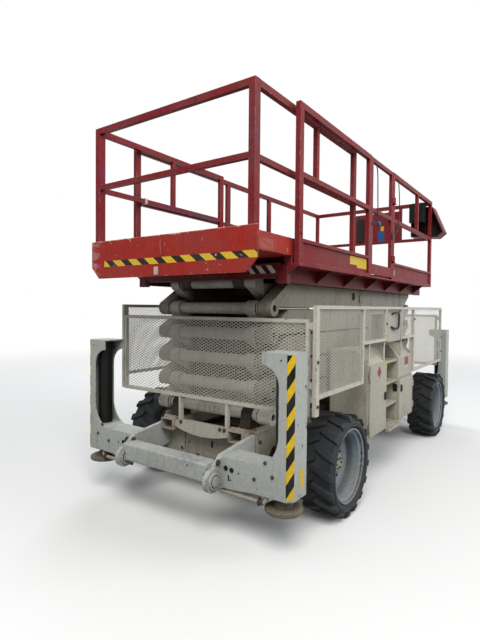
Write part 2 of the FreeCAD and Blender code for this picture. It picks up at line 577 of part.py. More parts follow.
# Slide blocks: the lower pair rides on the channels, the upper pair under the deck
def block_shape(x, pin_height, face_z):
    """A block round the sliding tube with its flat on the slide."""
    up = 1 if face_z > pin_height else -1
    flat = face_z - up * SEAT
    block = plate_yz(
        [(SLIDING_Y - BLOCK_HALF_Y, flat), (SLIDING_Y + BLOCK_HALF_Y, flat),
         (SLIDING_Y + BLOCK_HALF_Y, flat - up * 22), (SLIDING_Y + BLOCK_R, pin_height),
         (SLIDING_Y - BLOCK_R, pin_height, (SLIDING_Y, pin_height - up * BLOCK_R)),
         (SLIDING_Y - BLOCK_HALF_Y, flat - up * 22)], x)
    return block.cut(round_x((x[0] - 1, x[1] + 1), SLIDING_Y, pin_height, TUBE_R + FIT))


TOP_SLIDE_Z = pin_z(LEVELS) + BLOCK_R
bottom_block = block_shape(BLOCK_X, FIRST_PIN_Z, CHANNEL_TOP_Z)
top_block = block_shape(TOP_BLOCK_X, pin_z(LEVELS), TOP_SLIDE_Z)
save("bottom_slide_blocks", both_sides(bottom_block))
save("top_slide_blocks", both_sides(top_block))

# Platform deck: floor, toe boards, under-frame with ribs, slides and hinge lugs
deck_top = DECK_LOW_Z + DECK_PLATE


def toe_board(y):
    """A stretch of the right toe board: a web set in between a deep foot and a top lip."""
    web_x = DECK_HALF_W - TOE_RECESS
    foot_top, lip_low = DECK_LOW_Z + TOE_FOOT_H, TOE_TOP_Z - TOE_LIP_H
    section = [
        (web_x - TOE_T, DECK_LOW_Z), (DECK_HALF_W, DECK_LOW_Z), (DECK_HALF_W, foot_top), (web_x, foot_top),
        (web_x, lip_low), (DECK_HALF_W, lip_low), (DECK_HALF_W, TOE_TOP_Z), (web_x - TOE_T, TOE_TOP_Z)]
    return plate_xz(section, y)


ext_x = DECK_HALF_W - 59
deck_y = (DECK_NEAR_Y, DECK_FAR_Y)
deck = [box((-DECK_HALF_W, DECK_HALF_W), deck_y, (DECK_LOW_Z, deck_top))]
deck.append(toe_board((DECK_NEAR_Y, GATE_Y[0] - 12)))
deck.append(toe_board((GATE_Y[1] + 12, DECK_FAR_Y)))
deck.append(mirror_x(toe_board(deck_y)))
deck.append(box((-DECK_HALF_W, DECK_HALF_W), (DECK_FAR_Y - TOE_T, DECK_FAR_Y), (deck_top - 1, TOE_TOP_Z)))
member_z = (UNDER_FRAME_LOW_Z, DECK_LOW_Z + 1)
for side in (1, -1):
    member_x = sorted((side * (UNDER_FRAME_X - 50), side * UNDER_FRAME_X))
    deck.append(box(member_x, deck_y, member_z))
    for rib_y in (DECK_NEAR_Y, -1420.0, -820.0, -220.0, 380.0, 980.0, 1580.0):
        rib = [(side * (UNDER_FRAME_X - 1), UNDER_FRAME_LOW_Z + 10), (side * (DECK_HALF_W - 10), DECK_LOW_Z + 1),
               (side * (UNDER_FRAME_X - 1), DECK_LOW_Z + 1)]
        deck.append(plate_xz(rib, (rib_y, rib_y + 10)))
    slide_x = sorted((side * (TOP_BLOCK_X[0] - 12), side * (TOP_BLOCK_X[1] + 12)))
    deck.append(box(slide_x, (DECK_NEAR_Y, -200.0), (TOP_SLIDE_Z, DECK_LOW_Z + 1)))
    hinge_x = sorted((side * TOP_BLOCK_X[0], side * TOP_BLOCK_X[1]))
    hinge = [(FIXED_Y - BLOCK_R - 20, DECK_LOW_Z + 1), (FIXED_Y - BLOCK_R, pin_z(LEVELS)),
             (FIXED_Y + BLOCK_R, pin_z(LEVELS), (FIXED_Y, pin_z(LEVELS) - BLOCK_R)),
             (FIXED_Y + BLOCK_R + 20, DECK_LOW_Z + 1)]
    deck.append(plate_yz(hinge, hinge_x))
    support_x = sorted((side * (ext_x - 66), side * ext_x))
    deck.append(box(support_x, (DECK_NEAR_Y, DECK_NEAR_Y + 90), (deck_top - 1, EXT_FLOOR_Z - SEAT)))
for member_y in (DECK_NEAR_Y, DECK_FAR_Y - 40):
    deck.append(box((-UNDER_FRAME_X, UNDER_FRAME_X), (member_y, member_y + 40), (UNDER_FRAME_LOW_Z + 30, DECK_LOW_Z + 1)))
deck.append(box((-UNDER_FRAME_X, UNDER_FRAME_X), (DECK_NEAR_Y - 8, DECK_NEAR_Y + 1), (1976.0, 2060.0)))
for side in (1, -1):
    bracket_x = sorted((side * (UNDER_FRAME_X - 30), side * (UNDER_FRAME_X + 60)))
    deck.append(box(bracket_x, (DECK_NEAR_Y - 8, DECK_NEAR_Y + 40), (UNDER_FRAME_LOW_Z - 12, DECK_LOW_Z + 1)))
deck = joined(deck)
deck = deck.cut(round_x((-360, 360), FIXED_Y, pin_z(LEVELS), TUBE_R + FIT))

# The posts stand on the floor's edge, in notches of the toe boards
rail_x = (DECK_HALF_W - RAIL_T, DECK_HALF_W)
near_post, far_post = DECK_NEAR_Y, DECK_FAR_Y - TOE_T - POST_W
gate_posts = (GATE_Y[0] - 6 - POST_W, GATE_Y[1] + 6)
left_posts = (near_post, gate_posts[0], 380.0, far_post)
for side, posts in ((1, (near_post, *gate_posts, far_post)), (-1, left_posts)):
    notch_x = sorted((side * (rail_x[0] - SEAT), side * (rail_x[1] + 1)))
    for y in posts:
        deck = deck.cut(box(notch_x, (y - SEAT, y + POST_W + SEAT), (deck_top, TOE_TOP_Z + 1)))
save("deck", deck)


# Rails
def rail_frame(x, posts, mids=(MID_RAIL_Z,), floor_z=deck_top, top_z=RAIL_TOP_Z, short=()):
    """A side frame along Y: top rail, middle rails and posts at the given places."""
    first, last = posts[0], posts[-1] + POST_W
    parts = [box(x, (first, last), (top_z - RAIL_H, top_z))]
    for z in mids:
        parts.append(box(x, (first, last), (z, z + RAIL_T)))
    for y in posts:
        parts.append(box(x, (y, y + POST_W), (floor_z, top_z)))
    for y in short:
        parts.append(box(x, (y, y + RAIL_T), (mids[0], top_z)))
    return joined(parts)


left_x = (-rail_x[1], -rail_x[0])
right_near = rail_frame(rail_x, (near_post, gate_posts[0]))
right_far = rail_frame(rail_x, (gate_posts[1], far_post), short=(1210.0,))
left_all = rail_frame(left_x, left_posts, short=(1210.0,))
end_y = (DECK_FAR_Y - TOE_T - RAIL_T, DECK_FAR_Y - TOE_T)
end_rails = [
    box((-rail_x[0], rail_x[0]), end_y, (RAIL_TOP_Z - RAIL_H, RAIL_TOP_Z)),
    box((-rail_x[0], rail_x[0]), end_y, (MID_RAIL_Z, MID_RAIL_Z + RAIL_T)),
    box((-POST_W / 2, POST_W / 2), end_y, (deck_top, RAIL_TOP_Z)),
    box((-275.0, 485.0), (end_y[0] + 10, end_y[0] + 18), (MID_RAIL_Z, RAIL_TOP_Z - 85)),
    box((445.0, 485.0), end_y, (MID_RAIL_Z, RAIL_TOP_Z))]

# Hinge pins of the gate, on brackets that stand out from its far post
HINGE_XY = (rail_x[1] + 16, GATE_Y[1] + 3)
HINGE_R, HINGE_PIN_R = 13.0, 7.0
HINGE_Z = (deck_top + 200, MID_RAIL_Z + 200)
hinge_pins = []
for z in HINGE_Z:
    hinge_pins.append(round_z(*HINGE_XY, (z - 14, z + 64), HINGE_PIN_R))
    bracket_x = (HINGE_XY[0] - 11, HINGE_XY[0] + 10)
    hinge_pins.append(box(bracket_x, (HINGE_XY[1] - 8, gate_posts[1] + 30), (z - 14, z - SEAT)))
    hinge_pins.append(box((rail_x[1] - 5, bracket_x[1]), (gate_posts[1] + 4, gate_posts[1] + 30), (z - 14, z - SEAT)))
main_far = joined([right_far, left_all] + end_rails + hinge_pins)
save("main_rails", [right_near, main_far])

# Entry gate, hinged on the post at its far side
gate_x = (rail_x[0] + 3, rail_x[1] - 2)
gate_z = (deck_top + 20, RAIL_TOP_Z - 5)
gate = [
    box(gate_x, GATE_Y, (gate_z[1] - 40, gate_z[1])),
    box(gate_x, GATE_Y, (MID_RAIL_Z, MID_RAIL_Z + RAIL_T)),
    box(gate_x, (GATE_Y[0], GATE_Y[0] + 40), gate_z),
    box(gate_x, (GATE_Y[1] - 40, GATE_Y[1]), gate_z),
    box((gate_x[1] - 8, gate_x[1]), GATE_Y, (gate_z[0], gate_z[0] + 105))]
for z in HINGE_Z:
    gate.append(round_z(*HINGE_XY, (z, z + 60), HINGE_R))
    gate.append(box((gate_x[1] - 6, HINGE_XY[0]), (HINGE_XY[1] - 40, HINGE_XY[1] - 6), (z, z + 60)))
    gate.append(box((gate_x[1] - 1, HINGE_XY[0]), (HINGE_XY[1] - HINGE_R, HINGE_XY[1]), (z, z + 60)))
gate = joined(gate)
for z in HINGE_Z:
    gate = gate.cut(round_z(*HINGE_XY, (z - 1, z + 61), HINGE_PIN_R + FIT))
save("gate", gate)

# Control station: a hood outside the far rails at the corner, and a control box inside them
hood_y = (end_y[1] + SEAT, end_y[1] + 235)
wall_x, tip_x = DECK_HALF_W - 295, DECK_HALF_W + 157
hood_top = RAIL_TOP_Z - 45
hood = plate_xz([(wall_x, MID_RAIL_Z + 75), (tip_x - 87, MID_RAIL_Z + 45), (tip_x, MID_RAIL_Z + 115),
                 (DECK_HALF_W, hood_top - 20), (wall_x, hood_top)], hood_y)
hood = hood.cut(plate_xz([(wall_x + 15, MID_RAIL_Z + 90), (tip_x - 92, MID_RAIL_Z + 60),
                          (tip_x - 18, MID_RAIL_Z + 118), (DECK_HALF_W - 10, hood_top - 33),
                          (wall_x + 15, hood_top - 15)], (hood_y[0] - 1, hood_y[1] - 12)))
save("control_station", hood)
control_box = box((wall_x + 30, wall_x + 225), (end_y[0] - 165, end_y[0] - SEAT), (hood_top - 255, hood_top + 10))
save("control_box", control_box)

# Roll-out deck: floor, side channels, kick plate with cut corners, rear runners
ext_floor = box((-ext_x + 4, ext_x - 4), (EXT_END_Y + KICK_T - 1, EXT_BACK_Y), (EXT_FLOOR_Z, EXT_FLOOR_Z + EXT_PLATE))
ext = [ext_floor]
for side in (1, -1):
    wall_x = sorted((side * (ext_x - 12), side * ext_x))
    ext.append(box(wall_x, (EXT_END_Y + KICK_T - 1, DECK_NEAR_Y + 60), (EXT_FLOOR_Z, 2240)))
    foot_x = sorted((side * (ext_x - 66), side * ext_x))
    ext.append(box(foot_x, (EXT_BACK_Y - 110, EXT_BACK_Y), (deck_top + SEAT, EXT_FLOOR_Z + 1)))
cut = 95.0
kick = [(KICK_HALF_W, KICK_LOW_Z + cut), (KICK_HALF_W, KICK_TOP_Z), (-KICK_HALF_W, KICK_TOP_Z),
        (-KICK_HALF_W, KICK_LOW_Z + cut), (-KICK_HALF_W + cut, KICK_LOW_Z), (KICK_HALF_W - cut, KICK_LOW_Z)]
ext.append(plate_xz(kick, (EXT_END_Y, EXT_END_Y + KICK_T)))
save("extension_deck", joined(ext))

# Roll-out rails, which run inside the main rails
ext_rail_x = (ext_x - 12 - SEAT - RAIL_T, ext_x - 12 - SEAT)
ext_floor_top = EXT_FLOOR_Z + EXT_PLATE
ext_rails = []
post_y = EXT_END_Y + KICK_T
for side in (1, -1):
    x = sorted((side * ext_rail_x[0], side * ext_rail_x[1]))
    corner = sorted((side * (ext_rail_x[0] - 14), side * ext_rail_x[1]))
    ext_rails += [
        box(corner, (post_y, post_y + 62), (ext_floor_top, RAIL_TOP_Z)),
        box(x, (post_y, EXT_BACK_Y), (RAIL_TOP_Z - RAIL_H - 2, RAIL_TOP_Z - 2)),
        box(x, (post_y, EXT_BACK_Y), (MID_RAIL_Z + 10, MID_RAIL_Z + 50)),
        box(x, (-1590.0, -1550.0), (MID_RAIL_Z + 20, RAIL_TOP_Z - 20)),
        box(x, (EXT_BACK_Y - POST_W, EXT_BACK_Y), (ext_floor_top, RAIL_TOP_Z - 3))]
end_x = (-ext_rail_x[0], ext_rail_x[0])
ext_rails.append(box(end_x, (post_y, post_y + RAIL_T), (RAIL_TOP_Z - RAIL_H, RAIL_TOP_Z)))
ext_rails.append(box(end_x, (post_y, post_y + RAIL_T), (MID_RAIL_Z + 20, MID_RAIL_Z + 62)))
save("extension_rails", joined(ext_rails))


# Mesh guards: tube frames, and panels of two layers of slanting strips that fill them
def mesh_strips(width, height):
    """Strips of a panel from (0, 0) to (width, height), as (layer, four corner points)."""
    pitch, strip, rise = 190.0, 9.0, 0.5
    strips = []
    for layer, lean in ((0, 1), (1, -1)):
        count = int((width + height / rise) / pitch) + 1
        for step in range(count + 1):
            start = -height / rise + pitch * step + 20
            a, b = (start, 0.0), (start + height / rise, height)
            low, high = max(0.0, a[0]), min(width, b[0])
            if high - low < 60:
                continue
            z_low, z_high = (low - start) * rise, (high - start) * rise
            corners = [(low, z_low - strip), (high, z_high - strip), (high, z_high + strip), (low, z_low + strip)]
            if lean < 0:
                corners = [(width - u, v) for u, v in corners]
            strips.append((layer, corners))
    return strips


def guard_panel(plane, across, z, layer_at):
    """The frame and the mesh of one panel. plane is 'x' or 'y'; across and z are (low, high) pairs."""
    t = GUARD_TUBE
    depth = (layer_at - t / 2, layer_at + t / 2)

    def slab(a, height):
        return box(depth, a, height) if plane == "x" else box(a, depth, height)

    bars = [slab(across, (z[0], z[0] + t)), slab(across, (z[1] - t, z[1])),
            slab((across[0], across[0] + t), z), slab((across[1] - t, across[1]), z)]
    width, height = across[1] - across[0] - 2 * t, z[1] - z[0] - 2 * t
    mouth = slab((across[0] + t, across[1] - t), (z[0] + t, z[1] - t))
    strips = []
    for layer, corners in mesh_strips(width, height):
        at = layer_at - MESH_T * (1 - layer)
        points = [(across[0] + t + u, z[0] + t + v) for u, v in corners]
        strip = plate_yz(points, (at, at + MESH_T)) if plane == "x" else plate_xz(points, (at, at + MESH_T))
        strips.append(strip.common(mouth))
    return bars, joined(strips)


end_guards, end_meshes = [], []
for guard_y, foot_z, foot_y in (
        (-END_GUARD_Y, CHANNEL_TOP_Z - 8, (-2050.0, -END_GUARD_Y + 15)),
        (FRAME_END_Y - 18, FRAME_TOP_Z, (FRAME_END_Y - 30, FRAME_END_Y - 3))):
    parts, mesh = guard_panel("y", (-END_GUARD_HALF_W, END_GUARD_HALF_W), END_GUARD_Z, guard_y)
    for x in (-272.0, 248.0):
        parts.append(box((x, x + 24), foot_y, (foot_z, END_GUARD_Z[0] + 5)))
    for side in (1, -1):
        for z in (1120.0, 1560.0):
            parts.append(box(sorted((side * (END_GUARD_HALF_W - 5), side * (GUARD_X - GUARD_TUBE))),
                             (guard_y - 10, guard_y + 10), (z, z + 50)))
    end_guards.append(joined(parts))
    end_meshes.append(mesh)
save("end_guards", end_guards)
save("end_guard_mesh", end_meshes)

guard_mid_x = GUARD_X - GUARD_TUBE / 2
side_runs = (
    # panels as (near, far, low, high), a post or none, and the legs that stand on the cabinets
    ("near", ((-1998.0, -1060.0, 1040.0, GUARD_TOP_Z), (-1075.0, -430.0, 1390.0, GUARD_TOP_Z)),
     (-2025.0, -1968.0, 915.0, GUARD_TOP_Z), (-890.0, -470.0)),
    ("far", ((50.0, 570.0, 1385.0, GUARD_TOP_Z), (541.0, FRAME_END_Y - 3, 980.0, GUARD_TOP_Z)),
     None, (90.0, 470.0)))
side_guards, side_meshes = [], []
for run, panels, post, leg_places in side_runs:
    parts = []
    for near, far, low, high in panels:
        bars, mesh = guard_panel("x", (near, far), (low, high), guard_mid_x)
        parts += bars
        side_meshes += both_sides(mesh)
    if post:
        parts.append(box((GUARD_X - GUARD_TUBE, GUARD_X), post[:2], post[2:]))
    for leg_y in leg_places:
        parts.append(box((GUARD_X - GUARD_TUBE, CABINET_OUTER_X - 2), (leg_y, leg_y + 30), (1202.0, 1400.0)))
    side_guards += both_sides(joined(parts))
save("side_guards", side_guards)
save("side_guard_mesh", side_meshes)


# Cabinets: sheet-metal boxes with a sloped lid, open behind their doors
def cabinet_profile(shrink):
    """Outline across the machine, inset by a wall."""
    s = shrink
    return [(CABINET_INNER_X + s, CABINET_LOW_Z + s), (CABINET_OUTER_X - s, CABINET_LOW_Z + s),
            (CABINET_OUTER_X - s, CABINET_FRONT_TOP_Z - s * 0.6), (CABINET_SLOPE_X - s * 0.6, CABINET_TOP_Z - s),
            (CABINET_INNER_X + s, CABINET_TOP_Z - s)]


def cabinet_shape(y, mouths):
    """A hollow cabinet with a mouth for each door, which a link of the tray carries."""
    body = plate_xz(cabinet_profile(0), y)
    wall = CABINET_WALL
    body = body.cut(plate_xz(cabinet_profile(wall), (y[0] + wall, y[1] - wall)))
    for mouth_y, mouth_z in mouths:
        body = body.cut(box((CABINET_OUTER_X - wall - 2, CABINET_OUTER_X + 2), mouth_y, mouth_z))
    return body


door_rim = 35.0
door_gap = 5.0
full_z = (CABINET_LOW_Z + 5, CABINET_FRONT_TOP_Z - 5)
low_z = (CABINET_LOW_Z + 5, 950.0)
door_hinge_x = CABINET_OUTER_X + SEAT + DOOR_T
door_hinge_r, door_pin_r, door_barrel_h = 9.0, 4.5, 60.0


def mouth(y, z):
    return ((y[0] + door_rim, y[1] - door_rim), (z[0] + door_rim, z[1] - door_rim))


def door(y, z, hinge_y):
    """A door leaf with two barrels on its hinge line, and the cabinet's pins in them."""
    inward = 1 if hinge_y < (y[0] + y[1]) / 2 else -1
    free_y = y[1] - door_gap if inward > 0 else y[0] + door_gap
    leaf_y = sorted((hinge_y + inward * 12, free_y))
    leaf = [box((CABINET_OUTER_X + SEAT, door_hinge_x), leaf_y, z)]
    pins = []
    for low in (z[0] + 70, z[1] - 70 - door_barrel_h):
        top = low + door_barrel_h
        tab_y = sorted((hinge_y, hinge_y + inward * 14))
        leaf += [round_z(door_hinge_x, hinge_y, (low, top), door_hinge_r),
                 box((door_hinge_x - 6, door_hinge_x), tab_y, (low, top))]
        pins += [round_z(door_hinge_x, hinge_y, (low - 12, top + 4), door_pin_r),
                 box((CABINET_OUTER_X - 1, door_hinge_x + 6), (hinge_y - 7, hinge_y + 7), (low - 12, low - SEAT))]
    leaf = joined(leaf)
    for low in (z[0] + 70, z[1] - 70 - door_barrel_h):
        leaf = leaf.cut(round_z(door_hinge_x, hinge_y, (low - 1, low + door_barrel_h + 1), door_pin_r + FIT))
    return leaf, pins


near_door, near_pins = door(NEAR_CABINET_Y, full_z, NEAR_CABINET_Y[0] + 10)
far_door, far_pins = door(FAR_CABINET_Y, low_z, FAR_CABINET_Y[1] - 10)
near_cabinet = joined([cabinet_shape(NEAR_CABINET_Y, [mouth(NEAR_CABINET_Y, full_z)])] + near_pins)
far_cabinet = joined([cabinet_shape(FAR_CABINET_Y, [mouth(FAR_CABINET_Y, low_z)])] + far_pins)
save("cabinets_right", [near_cabinet, far_cabinet])
save("door_right_near", near_door)
save("door_right_far", far_door)

split_y = (NEAR_CABINET_Y[0] + FAR_CABINET_Y[1]) / 2
left_near_y, left_far_y = (NEAR_CABINET_Y[0], split_y), (split_y, FAR_CABINET_Y[1])
left_near_door, left_near_pins = door(left_near_y, full_z, left_near_y[0] + 10)
left_far_door, left_far_pins = door(left_far_y, full_z, left_far_y[1] - 10)
long_cabinet = joined([cabinet_shape((NEAR_CABINET_Y[0], FAR_CABINET_Y[1]),
                                     [mouth(left_near_y, full_z), mouth(left_far_y, full_z)])]
                      + left_near_pins + left_far_pins)
save("cabinet_left", mirror_x(long_cabinet))
save("door_left_near", mirror_x(left_near_door))
save("door_left_far", mirror_x(left_far_door))
engine = box((-980.0, -700.0), (-640.0, 60.0), (CABINET_LOW_Z + CABINET_WALL, 1050.0))
save("engine", engine)

# Entry ladder between the right cabinets: back panel, treads, low step and top panel
ladder_y = (NEAR_CABINET_Y[1], FAR_CABINET_Y[0])
panel_x = (LADDER_X, LADDER_X + 12)
ladder = [box(panel_x, ladder_y, (480.0, 1673.0)),
          box((panel_x[1] - 1, GUARD_X), ladder_y, (1377.0, 1389.0)),
          box((GUARD_X - 12, GUARD_X), (ladder_y[0], ladder_y[1]), (1377.0, 1673.0)),
          box((panel_x[1] - 1, GUARD_X), ladder_y, (1661.0, 1673.0))]
for tread_z, reach in ((470.0, 1092.0), (700.0, 1030.0), (930.0, 1030.0), (1150.0, 1030.0)):
    ladder.append(box((panel_x[1] - 1, reach), ladder_y, (tread_z, tread_z + 26)))
save("ladder", joined(ladder))
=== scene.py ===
import math

import bmesh
import bpy
from mathutils import Matrix, Vector


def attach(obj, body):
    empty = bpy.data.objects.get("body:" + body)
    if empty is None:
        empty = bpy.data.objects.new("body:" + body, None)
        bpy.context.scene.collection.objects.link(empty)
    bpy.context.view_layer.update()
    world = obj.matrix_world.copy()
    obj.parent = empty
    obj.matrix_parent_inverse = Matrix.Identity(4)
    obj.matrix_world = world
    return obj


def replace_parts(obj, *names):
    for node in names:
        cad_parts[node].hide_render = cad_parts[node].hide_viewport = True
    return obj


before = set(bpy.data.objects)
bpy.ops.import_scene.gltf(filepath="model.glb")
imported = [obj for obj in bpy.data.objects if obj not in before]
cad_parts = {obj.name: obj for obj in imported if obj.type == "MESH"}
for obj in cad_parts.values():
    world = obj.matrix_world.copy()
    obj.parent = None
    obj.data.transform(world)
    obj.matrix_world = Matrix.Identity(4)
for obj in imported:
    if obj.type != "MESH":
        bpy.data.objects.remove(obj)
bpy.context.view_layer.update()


# The chassis tray. Folded and welded plate in cream paint, grimy where the stack drips
# on it and splashed near the ground. Its wear, with the painted highlight some paints take on
# their edges, is one shader group that all paint shares.
def put(tree, kind, sockets=None, **settings):
    """One shader node, with its own settings and its sockets filled or linked."""
    node = tree.nodes.new(kind)
    for name, value in settings.items():
        setattr(node, name, value)
    for name, value in (sockets or {}).items():
        if isinstance(value, bpy.types.NodeSocket):
            tree.links.new(value, node.inputs[name])
        else:
            node.inputs[name].default_value = value
    return node


def calc(tree, operation, first, *others):
    """Arithmetic on values, from left to right."""
    for other in others:
        first = put(tree, "ShaderNodeMath", {0: first, 1: other}, operation=operation).outputs[0]
    return first


def mult(tree, *values):
    return calc(tree, "MULTIPLY", *values)


def soft_step(tree, value, low, high, result=(0.0, 1.0)):
    """Goes smoothly from one result to the other while the value goes from low to high."""
    return put(tree, "ShaderNodeMapRange", {"Value": value, "From Min": low, "From Max": high,
                                            "To Min": result[0], "To Max": result[1]},
               interpolation_type="SMOOTHSTEP").outputs["Result"]


def object_place(tree):
    return put(tree, "ShaderNodeTexCoord").outputs["Object"]


def noise(tree, place, scale, detail=4.0, rough=0.55):
    return put(tree, "ShaderNodeTexNoise", {"Vector": place, "Scale": scale, "Detail": detail,
                                            "Roughness": rough}).outputs["Fac"]


def stretched(tree, place, factors):
    return put(tree, "ShaderNodeVectorMath", {0: place, 1: factors},
               operation="MULTIPLY").outputs["Vector"]


def rounded(tree, radius):
    """The normal of a surface whose edges look rounded."""
    return put(tree, "ShaderNodeBevel", {"Radius": radius}, samples=4).outputs["Normal"]


def openness(tree, reach, samples):
    """1 on open surfaces, and less the deeper a point lies between others."""
    return put(tree, "ShaderNodeAmbientOcclusion", {"Distance": reach},
               samples=samples).outputs["AO"]


def tint(tree, share, painted_shade_under_deck, over, blend="MIX"):
    """One colour laid over another by a share."""
    return put(tree, "ShaderNodeMix", {0: share, 6: painted_shade_under_deck, 7: over}, data_type="RGBA",
               blend_type=blend).outputs[2]


def shade(red, green, blue):
    """A colour in linear light, from the sRGB values of a colour chart."""
    return tuple(((v / 255 + 0.055) / 1.055) ** 2.4 for v in (red, green, blue)) + (1.0,)


weathered = bpy.data.node_groups.new("Weathered paint", "ShaderNodeTree")
COLOUR, VALUE = "NodeSocketColor", "NodeSocketFloat"
for socket, kind, value in (
        ("Paint", COLOUR, shade(200, 196, 182)), ("Grime", COLOUR, shade(84, 74, 60)),
        ("Bare", COLOUR, shade(82, 50, 34)), ("Grime share", VALUE, 0.3),
        ("Streaks", VALUE, 0.25), ("Chips", VALUE, 0.3), ("Splash height", VALUE, 0.9),
        ("Fading", VALUE, 0.04), ("Edges", VALUE, 0.0)):
    weathered.interface.new_socket(socket, in_out="INPUT", socket_type=kind).default_value = value
for socket, kind in (("Colour", COLOUR), ("Roughness", VALUE), ("Height", VALUE)):
    weathered.interface.new_socket(socket, in_out="OUTPUT", socket_type=kind)
tree = weathered
given = put(tree, "NodeGroupInput").outputs
place = object_place(tree)
height = put(tree, "ShaderNodeSeparateXYZ", {0: place}).outputs["Z"]
cloud = noise(tree, place, 1.9, 6.0, 0.62)
fine = noise(tree, place, 46.0, 5.0, 0.6)
drips = noise(tree, stretched(tree, place, (24.0, 24.0, 1.5)), 1.0, 4.0, 0.6)
runs = soft_step(tree, drips, 0.52, 0.74)
true_side = put(tree, "ShaderNodeNewGeometry").outputs["Normal"]
turn = put(tree, "ShaderNodeVectorMath", {0: rounded(tree, 0.008), 1: true_side},
           operation="DOT_PRODUCT").outputs["Value"]
edge = soft_step(tree, turn, 0.985, 0.82)
crevice = soft_step(tree, openness(tree, 0.09, 6), 0.86, 0.3)
splash = soft_step(tree, height, calc(tree, "ADD", given["Splash height"], 0.25), 0.3)
patch = soft_step(tree, cloud, 0.46, 0.68)
dirt = calc(tree, "ADD", mult(tree, patch, 0.55), mult(tree, crevice, 0.8), mult(tree, splash, 0.6))
dirt = mult(tree, dirt, given["Grime share"])
dirt = calc(tree, "ADD", dirt, mult(tree, runs, given["Streaks"]))
dirt = mult(tree, dirt, soft_step(tree, fine, 0.3, 0.62, (0.65, 1.1)))
dirt = put(tree, "ShaderNodeClamp", {0: dirt, 1: 0.0, 2: 0.95}).outputs[0]
flake = calc(tree, "ADD", noise(tree, place, 17.0, 8.0, 0.7), mult(tree, edge, 0.12))
limit = calc(tree, "SUBTRACT", 0.70, mult(tree, given["Chips"], 0.12))
chip = soft_step(tree, calc(tree, "SUBTRACT", flake, limit), 0.0, 0.025)
bleached = mult(tree, soft_step(tree, cloud, 0.35, 0.65), given["Fading"])
faded = tint(tree, bleached, given["Paint"], shade(214, 208, 200))
speckle = soft_step(tree, fine, 0.25, 0.75, (0.0, 0.22))
faded = tint(tree, speckle, faded, shade(140, 132, 122), "MULTIPLY")
soiled = tint(tree, dirt, faded, given["Grime"])
bared = tint(tree, chip, soiled, given["Bare"])
# Edges take the bare colour by the Edges share: worn edges on most paints, and a pale painted
# highlight on the faded red.
edge_wear_and_highlight = mult(tree, edge, soft_step(tree, cloud, 0.35, 0.6), given["Edges"])
dull = mult(tree, calc(tree, "ADD", dirt, chip), 0.32)
put(tree, "NodeGroupOutput", {
    "Colour": tint(tree, edge_wear_and_highlight, bared, given["Bare"]),
    "Roughness": calc(tree, "ADD", 0.4, dull),
    "Height": calc(tree, "SUBTRACT", mult(tree, fine, 0.25), chip)})


def new_finish(name, gloss=0.5):
    """A new material with a plain surface."""
    material = bpy.data.materials.new(name)
    material.use_nodes = True
    surface = material.node_tree.nodes["Principled BSDF"]
    surface.inputs["Specular IOR Level"].default_value = gloss
    return material


def relief(tree, height, strength, depth, rounding):
    """The normal of a surface with rounded edges and fine relief on it."""
    return put(tree, "ShaderNodeBump", {"Height": height, "Strength": strength, "Distance": depth,
                                        "Normal": rounded(tree, rounding)}).outputs["Normal"]


def cover(material, colour, rough, normal=None):
    """Links a colour, a roughness and a normal to a material's surface."""
    surface = material.node_tree.nodes["Principled BSDF"]
    for socket, value in (("Base Color", colour), ("Roughness", rough), ("Normal", normal)):
        if value is not None:
            material.node_tree.links.new(value, surface.inputs[socket])


def painted(name, paint, **wear):
    """A worn coat of paint. wear names the group's own sockets, with spaces as underscores."""
    material = new_finish(name, gloss=0.14)
    tree = material.node_tree
    coat = tree.nodes.new("ShaderNodeGroup")
    coat.node_tree = weathered
    coat.inputs["Paint"].default_value = paint
    for socket, value in wear.items():
        coat.inputs[socket.replace("_", " ").capitalize()].default_value = value
    cover(material, coat.outputs["Colour"], coat.outputs["Roughness"],
          relief(tree, coat.outputs["Height"], 0.35, 0.0012, 0.004))
    return material


def dress(material, *nodes):
    """Gives CAD nodes their finish."""
    for name in nodes:
        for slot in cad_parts[name].material_slots:
            slot.material = material


cream = painted("Cream paint", shade(178, 173, 156), Grime_share=0.42, Streaks=0.28, Chips=0.35,
                Splash_height=0.75)
dress(cream, "chassis")


def begin(primitive, **sizes):
    """Adds a primitive with nothing else selected, and opens it for editing."""
    bpy.ops.object.select_all(action="DESELECT")
    primitive(**sizes)
    bpy.ops.object.transform_apply(location=True, rotation=True, scale=True)
    bpy.ops.object.mode_set(mode="EDIT")


def end():
    bpy.ops.object.mode_set(mode="OBJECT")


def extrude(x, y, z):
    """Draws what is selected out of the piece in hand."""
    bpy.ops.mesh.extrude_region_move(TRANSFORM_OT_translate={"value": (x, y, z)})


def move(x, y, z):
    bpy.ops.transform.translate(value=(x, y, z))


def outward():
    """Selects all of the piece in hand and turns its faces outward."""
    bpy.ops.mesh.select_all(action="SELECT")
    bpy.ops.mesh.normals_make_consistent(inside=False)


def pick_faces(test):
    """Selects the faces whose middle and normal pass the test."""
    edit = bmesh.from_edit_mesh(bpy.context.object.data)
    bpy.ops.mesh.select_all(action="DESELECT")
    for face in edit.faces:
        face.select_set(test(face.calc_center_median(), face.normal))
    bmesh.update_edit_mesh(bpy.context.object.data)


def join(pieces):
    """Makes one object of several."""
    bpy.ops.object.select_all(action="DESELECT")
    for piece in pieces:
        piece.select_set(True)
    bpy.context.view_layer.objects.active = pieces[0]
    if len(pieces) > 1:
        bpy.ops.object.join()


def repeat(places):
    """Puts copies of the piece in hand, each with its own mesh, at (x, y, z, turn about Z)."""
    model = bpy.context.object
    copies = []
    for x, y, z, turn in places:
        copy = model.copy()
        copy.data = model.data.copy()
        turned = Matrix.Rotation(math.radians(turn), 4, "Z")
        copy.matrix_world = Matrix.Translation((x, y, z)) @ turned
        bpy.context.scene.collection.objects.link(copy)
        copies.append(copy)
    bpy.data.objects.remove(model)
    join(copies)


